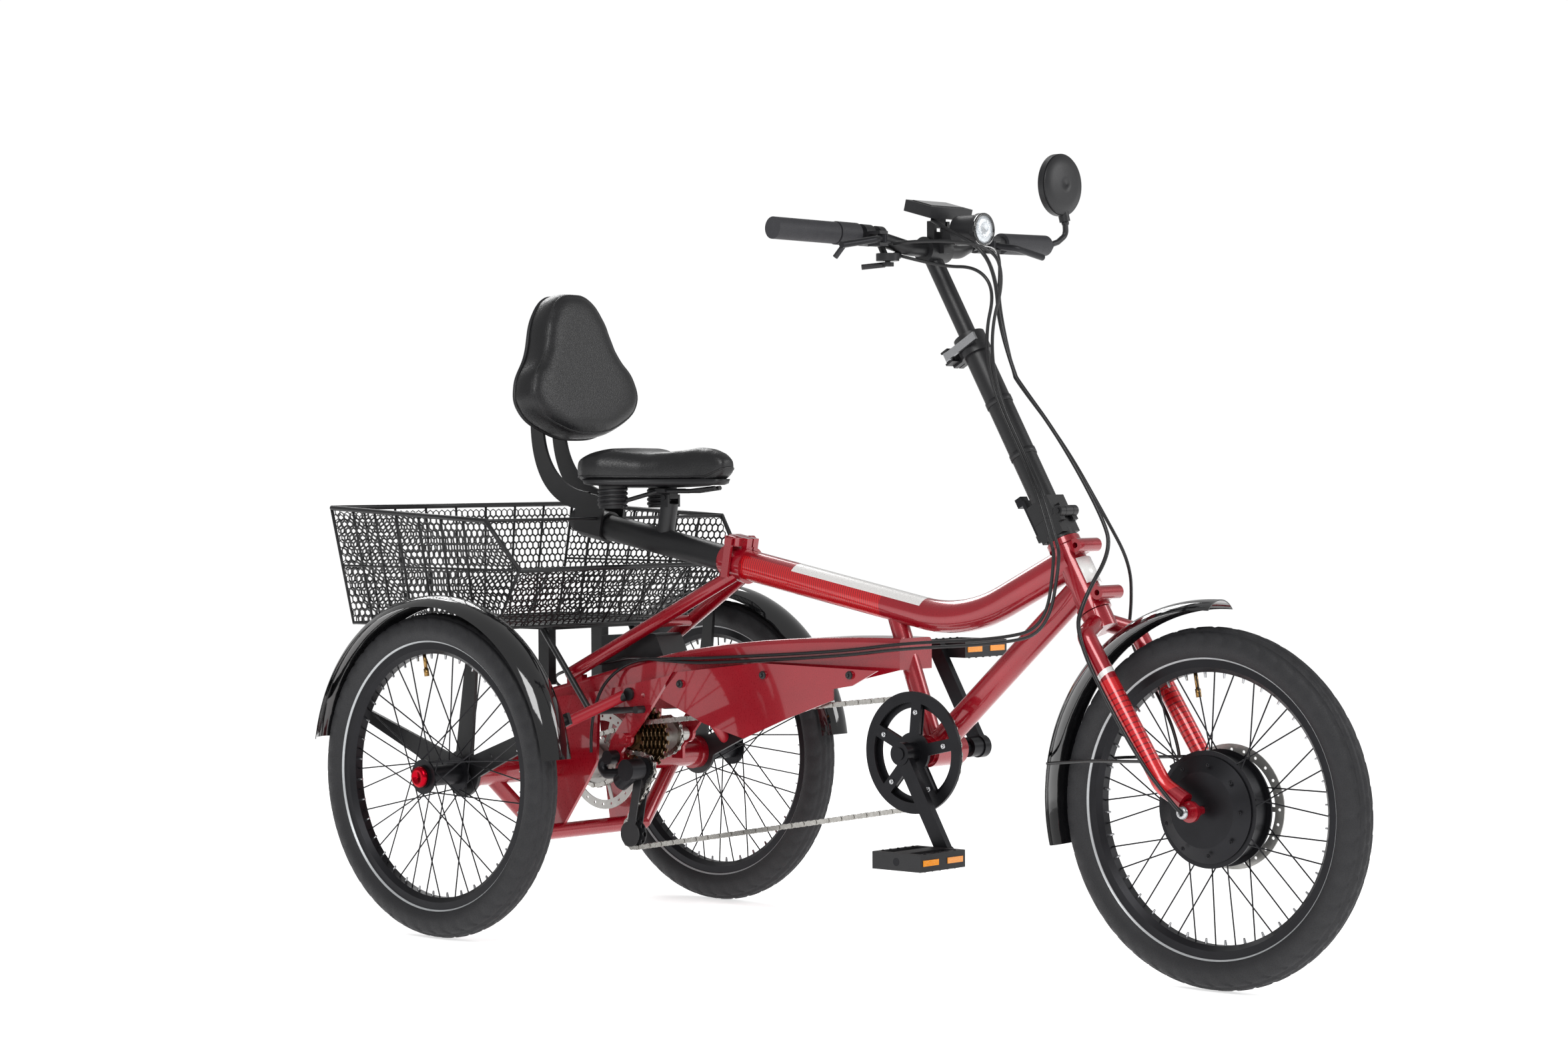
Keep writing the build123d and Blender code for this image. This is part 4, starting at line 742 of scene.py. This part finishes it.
def coil(foot, radius, height, turns, wire):
    """Points and faces of a coil spring standing on a point."""
    steps = int(turns * 20)
    line = [Vector(foot) + Vector((radius * math.cos(2 * math.pi * turns * i / steps),
                                   radius * math.sin(2 * math.pi * turns * i / steps), height * i / steps))
            for i in range(steps + 1)]
    return tube(line, wire, 8)


BACK_HALF = ((0, -68), (70, -56), (126, -14), (126, 24), (92, 80), (62, 150), (30, 180), (0, 184))
BACK_OUTLINE = [*BACK_HALF, *((-y, z) for y, z in reversed(BACK_HALF[1:-1]))]


def make_backrest():
    """A thick rounded pad: a face panel sewn to a deep side band, leaning back a little."""
    lean = math.radians(10)
    up, out = Vector((-math.sin(lean), 0, math.cos(lean))), Vector((math.cos(lean), 0, math.sin(lean)))
    face = Vector((18, 0, 844)) * MM
    outline = smooth_through([Vector((0, y, z)) * MM for y, z in BACK_OUTLINE], 120)

    def ring(scale, depth):
        centre = Vector((0, 0, 50)) * MM
        return [face + out * depth * MM + Vector((0, p.y * scale, 0))
                + up * (centre.z + (p.z - centre.z) * scale) for p in outline]

    steps = ((0.90, -52), (0.955, -50), (0.97, -44), (0.975, -30), (0.955, -14), (0.91, -6), (0.86, -4.5),
             (0.6, -3.5))
    rings = [ring(scale, depth) for scale, depth in steps]
    pad = mesh_object("backrest_cover", *ring_pad(rings), PAINT["vinyl"])
    inflate(pad, 5 * MM, 4.0, 4 * MM)
    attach(pad, "backrest")
    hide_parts("backrest_pad")
    welt = tube(laid_on(pad, ring(0.925, -6.5)), 1.5 * MM, 8, True)
    piece("backrest_welt", welt, PAINT["vinyl"], "backrest", slot="black_vinyl")
    shell = [ring(0.93, -53.5), ring(0.95, -49), ring(0.9, -48)]
    piece("backrest_shell", ring_pad(shell), PAINT["plastic"], "backrest", slot="black_plastic")


# ---------------------------------------------------------------- cables
GEAR_CABLE = [
    (735, -68.5, 1039.5), (790, -40, 1022), (850, -30, 1020), (878, -24, 985), (858, -23, 920),
    (870.5, -22.5, 840), (900, -22.5, 789), (929.5, -22.5, 738), (976, -45, 680), (1000, -47.7, 612),
    (1004, -48, 600), (985, -46, 500), (900, -41, 480), (717, -42, 469), (600, -49, 453),
    (347, -67, 436), (280, -70.6, 433), (165, -71, 428), (108, -94, 361), (112, -96, 280),
]
REAR_BRAKE_CABLE = [
    (745.5, -95, 1056), (800, -78, 1060), (892, -46, 1048), (900, -30, 1000), (872, -28, 925),
    (882, -28, 840), (911, -28, 789), (940, -28, 738), (990, -52, 684), (1016, -55.5, 612),
    (1020, -56, 600), (995, -54, 492), (900, -47, 473), (717, -47.5, 461), (600, -55, 446),
    (347, -67.5, 428), (285, -71, 427.5), (200, -70, 431), (150, -50, 429), (115, -40, 423),
    (-30, -36, 400), (-52, -16, 378), (-52, 30, 362), (-50, 47, 347.5),
]
FRONT_BRAKE_CABLE = [
    (745.5, 95, 1056), (800, 70, 1058), (846, 30, 1030), (850, 16, 960), (888, 8.4, 860), (890, 8, 855),
    (978, 8, 762), (1050, 10, 657), (1076, 34, 590), (1050, 72, 530), (1046, 66, 480), (1120, 62, 378),
    (1148, 50, 328), (1153, 44, 316),
]
MOTOR_CABLE = [
    (768, -34, 1092), (805, -34, 1072), (856, -24, 1046), (868, -8, 1000), (866, 0, 930),
    (898, -1.9, 860), (900, -2, 856), (980, -3, 768), (1056, -4, 657), (1076, -10, 610),
    (1070, -66, 545), (1062, -80, 490), (1166, -80, 330), (1236, -84, 262), (1249, -84, 253),
]


def cable_piece(name, route, radius, node):
    """One stretch of a cable as a smooth tube."""
    data = bpy.data.curves.new(name, "CURVE")
    data.dimensions, data.resolution_u, data.bevel_depth, data.bevel_resolution = "3D", 10, radius * MM, 3
    data.use_fill_caps = True
    spline = data.splines.new("NURBS")
    spline.points.add(len(route) - 1)
    for knot, spot in zip(spline.points, route):
        knot.co = (*(Vector(spot) * MM), 1)
    spline.order_u, spline.use_endpoint_u = 3, True
    curve = bpy.data.objects.new(name + "_curve", data)
    bpy.context.scene.collection.objects.link(curve)
    mesh = bpy.data.meshes.new_from_object(curve.evaluated_get(bpy.context.evaluated_depsgraph_get()))
    bpy.data.objects.remove(curve, do_unlink=True)
    mesh.materials.clear()
    mesh.materials.append(PAINT["sheath"])
    thing = bpy.data.objects.new(name, mesh)
    bpy.context.scene.collection.objects.link(thing)
    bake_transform(thing)
    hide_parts(node)


def make_cables():
    """The control cables, each cut where it crosses a joint."""
    at_slide, at_steer = 6, 9
    for name, route in (("gear_cable", GEAR_CABLE), ("rear_brake_cable", REAR_BRAKE_CABLE)):
        cable_piece(name + "_top", route[:at_slide + 1], 2.5,
                    "rear_cables")
        cable_piece(name + "_hinge", route[at_slide:at_steer + 1], 2.5,
                    "rear_cables")
        cable_piece(name + "_frame", route[at_steer:], 2.5,
                    "rear_cables")
    for name, route, at_slide, radius in (("front_brake_cable", FRONT_BRAKE_CABLE, 4, 2.5),
                                          ("motor_cable", MOTOR_CABLE, 5, 3.0)):
        cable_piece(name + "_top", route[:at_slide + 1], radius,
                    "front_cables")
        cable_piece(name + "_fork", route[at_slide:], radius,
                    "front_cables")


# ---------------------------------------------------------------- small fittings
def bolt_model(radius):
    """A button head with a hexagon socket, facing up its own Z."""
    profile = [(0.0004, 0.35 * radius), (0.45 * radius, 0.35 * radius), (0.5 * radius, 0.62 * radius),
               (0.85 * radius, 0.45 * radius), (radius, 0.1 * radius), (radius, 0.0), (0.0004, 0.0)]
    return lathe([(r, z) for r, z in profile], (0, 0, 0), "Z", 12)


def bolts(name, places, radius, material, body):
    """Button-head bolts on places of (point in mm, facing)."""
    spots = []
    for place, facing in places:
        way = Vector(facing).normalized()
        spots.append((Vector(place) * MM, way, way.orthogonal()))
    return repeat(name, spots, bolt_model(radius * MM), material, body, smooth=True)


def steer_at(along, front, left):
    """A point by its distances along, in front of and left of the steering axis, in mm, as metres."""
    return (Vector((981.7, 0, 621)) + Vector((-0.5, 0, 0.8660)) * along + Vector((0.8660, 0, 0.5)) * front
            + Vector((0, 1, 0)) * left) * MM


def bolt_circle(axle, y, radius, count, first=0):
    """Places for bolts on a circle about an axle, with the rest in mm, all facing the right."""
    angles = (math.radians(first + 360 * k / count) for k in range(count))
    return [((axle[0] / MM + radius * math.cos(a), y, axle[1] / MM + radius * math.sin(a)), (0, -1, 0))
            for a in angles]


def make_bolts():
    """Button heads on the chain guard, the motor's cover and the chainring."""
    guard = [((x, -74.3, z), (0, -1, 0)) for x, z in ((287, 394), (462, 414), (637, 420))]
    bolts("guard_bolts", guard, 6.5, PAINT["satin"], "frame")
    cover = bolt_circle((WHEELBASE, WHEEL_R), -33, 64, 9)
    bolts("motor_bolts", cover, 3.2, PAINT["anodised"], "front_wheel")
    bolts("ring_bolts", bolt_circle(CRANK, -67, 60, 5, -60), 4.5, PAINT["alloy"], "cranks")


def make_hub_caps():
    """A red cap with a hollow middle on each rear hub's outer end."""
    outline = ((0.5, 0), (16, 0), (17, 2), (15.5, 7), (9, 9.5), (8, 6.5), (0.5, 6.5))
    cap = lathe([(radius * MM, along * MM) for radius, along in outline], (0, 0, 0), "Z", 32)
    for side, body in ((-1, "right_wheel"), (1, "left_wheel")):
        low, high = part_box(body)
        end = low[1] if side < 0 else high[1]
        spot = (Vector((0, end, WHEEL_R)), Vector((0, side, 0)), Vector((1, 0, 0)))
        repeat(f"{body}_cap", [spot], cap, PAINT["cap"], body, smooth=True)


def make_pedal_fittings():
    """Two amber reflectors on each end of a pedal, and rows of studs above and below."""
    for body in ("pedal_right", "pedal_left"):
        low, high = (Vector(c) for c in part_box(body))
        middle = (low + high) / 2
        parts, studs = [], []
        for end in (low.x, high.x):
            for across in (-27 * MM, 27 * MM):
                parts.append(tube([(end - 1.6 * MM, middle.y + across - 17 * MM, middle.z),
                                   (end - 1.6 * MM, middle.y + across + 17 * MM, middle.z)], 6 * MM, 4))
        clipped = [([Vector((min(max(p.x, low.x - 1 * MM), high.x + 1 * MM), p.y, p.z)) for p in v], f)
                   for v, f in parts]
        piece(f"{body}_reflectors", gathered(clipped), PAINT["amber"], body, smooth=False)
        for face, z in ((1, high.z), (-1, low.z)):
            for x in (low.x + 6 * MM, high.x - 6 * MM):
                for k in range(1, 6):
                    y = low.y + (high.y - low.y) * k / 6
                    studs.append(((x / MM, y / MM, z / MM), (0, 0, face)))
        bolts(f"{body}_studs", studs, 2.2, PAINT["anodised"], body)


def facing_forward(outline, place, steps):
    """A turned shape on a forward axis, from (radius, forward) pairs and its place, all in mm."""
    profile = [(radius * MM, forward * MM) for radius, forward in outline]
    return lathe(profile, [c * MM for c in place], "X", steps)


def make_bar_fittings():
    """The lamp's lens and bezel, the display's glass, and the mirror's pane and domed back."""
    lens = facing_forward(((0.5, 0), (21, 0), (21, 1), (14, 3), (0.5, 3.6)), (838, 0, 1076), 40)
    piece("headlight_lens", lens, PAINT["glass"], "upper_post", slot="lamp_glass")
    bezel = facing_forward(((20.5, 0), (24.2, 0), (24.2, 2.5), (21.5, 4)), (837, 0, 1076), 40)
    piece("headlight_bezel", bezel, PAINT["gloss"], "upper_post")
    turn = Matrix.Translation((0.752, 0, 1.1085)) @ Matrix.Rotation(math.radians(15), 4, "Y")
    corners = [(x * MM, y * MM) for x, y in ((-20, -38), (17, -38), (17, 38), (-20, 38))]
    points, faces = prism(corners, 8.5 * MM, 9.6 * MM)
    piece("display_screen", ([turn @ p for p in points], faces), PAINT["screen"], "display", smooth=False)
    pane = facing_forward(((0.5, 0), (44.5, 0), (44.5, -1), (0.5, -1.4)), (703, 349, 1167), 56)
    piece("mirror_pane", pane, PAINT["mirror"], "mirror")
    dome = facing_forward(((0.5, 0), (48, 0), (46, 3), (30, 7), (14, 8.5), (0.5, 9)), (713, 349, 1167), 56)
    piece("mirror_back", dome, PAINT["plastic"], "mirror")


def make_head_fittings():
    """The front axle's nuts, a blank plate bent round the head tube, and two bands on the lower post."""
    nuts = [((1246, side * 77.5, 253), (0, side, 0)) for side in (-1, 1)]
    bolts("axle_nuts", nuts, 9.5, PAINT["alloy"], "fork")
    n = 13
    badge, outer = ([steer_at(along, radius * math.cos(a), radius * math.sin(a)) for along in (-78, -38)
                     for a in (math.radians(-42 + 7 * k) for k in range(n))] for radius in (25.4, 26.4))
    faces = [(k, k + 1, n + k + 1, n + k) for k in range(n - 1)]
    faces += [(2 * n + k, 2 * n + k + 1, 3 * n + k + 1, 3 * n + k) for k in range(n - 1)]
    rim = [*range(n), *range(2 * n - 1, n - 1, -1)]
    faces += [(a, b, b + 2 * n, a + 2 * n) for a, b in zip(rim, rim[1:] + rim[:1])]
    piece("head_plate", (badge + outer, faces), PAINT["white"], "frame")
    bands = []
    for low in (140, 228):
        ring, sides = lathe([(19.2, low), (20.2, low), (20.2, low + 9), (19.2, low + 9)], (0, 0, 0), "Z", 28)
        bands.append(([steer_at(p.z, p.x, p.y) for p in ring], sides))
    piece("post_bands", gathered(bands), PAINT["plastic"], "lower_post")


NODE_PAINT = {
    "red": ("lower_frame", "centre_beam", "rear_frame", "chain_guard", "seat_clamp", "seat_clamp_lever"),
    "main": ("main_frame",),
    "fork": ("fork",),
    "bracket": ("fender_brackets",),
    "satin": ("basket_rack", "hinge_base", "lower_post", "upper_post", "handlebar", "seat_slider",
              "saddle_frame", "backrest_bracket"),
    "gloss": ("right_rear_fender", "left_rear_fender", "front_fender"),
    "anodised": ("rear_caliper", "front_caliper", "right_wheel", "left_wheel", "front_wheel",
                 "hub_motor", "cranks", "chainring", "brake_lever_right", "brake_lever_left",
                 "post_latch", "derailleur"),
    "alloy": ("post_clamp_lever",),
    "steel": ("front_rotor", "differential", "jackshaft"),
    "cog": ("cassette",),
    "grip": ("grips", "throttle"),
    "plastic": ("controller_case", "derailleur_cage", "guide_pulley", "tension_pulley", "pedal_right",
                "pedal_left", "bar_controls", "headlight", "display", "mirror_head", "shift_lever"),
}


def paint_nodes():
    """Gives every CAD node that stays its finish."""
    for paint, names in NODE_PAINT.items():
        for name in names:
            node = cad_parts[name]
            for slot in node.material_slots:
                slot.material = PAINT[paint]


def lay_floor():
    """A pale floor, which isn't part of the tricycle."""
    paper = finish("studio_paper", "#FFFFFF", 0.9, 0.0, "#FDFDFD", 900, 40, 0.01, ior=1.1)
    shader = paper.node_tree.nodes["Principled BSDF"]
    shader.inputs["Emission Color"].default_value = (1, 1, 1, 1)
    shader.inputs["Emission Strength"].default_value = 0.62
    floor = mesh_object("floor", [(-30, -30, -0.001), (30, -30, -0.001), (30, 30, -0.001), (-30, 30, -0.001)],
                        [(0, 1, 2, 3)], paper)


place_camera()
light_studio()
PAINT = make_paints()
REPEAT = repeat_tree()
lay_floor()
paint_nodes()
for side, x, y, body in (("right", 0, -TRACK_HALF, "right_wheel"), ("left", 0, TRACK_HALF, "left_wheel"),
                         ("front", WHEELBASE, 0, "front_wheel")):
    tyre = make_tyre(f"{side}_tyre_skin", x, y, body)
    dress_wheel(side, x, y, body)
make_chain("chain", [(*CRANK, 40, 1), (*JACK, 11, 1), (*GUIDE, 11, -1), (*TENSION, 11, 1)], -0.057, "chain")
make_chain("drive_chain", [(*JACK, 14, 1), (0, WHEEL_R, 20, 1)], 0.025, "drive_chain")
make_basket()
make_saddle()
make_backrest()
make_cables()
make_bolts()
make_hub_caps()
make_pedal_fittings()
make_bar_fittings()
make_head_fittings()
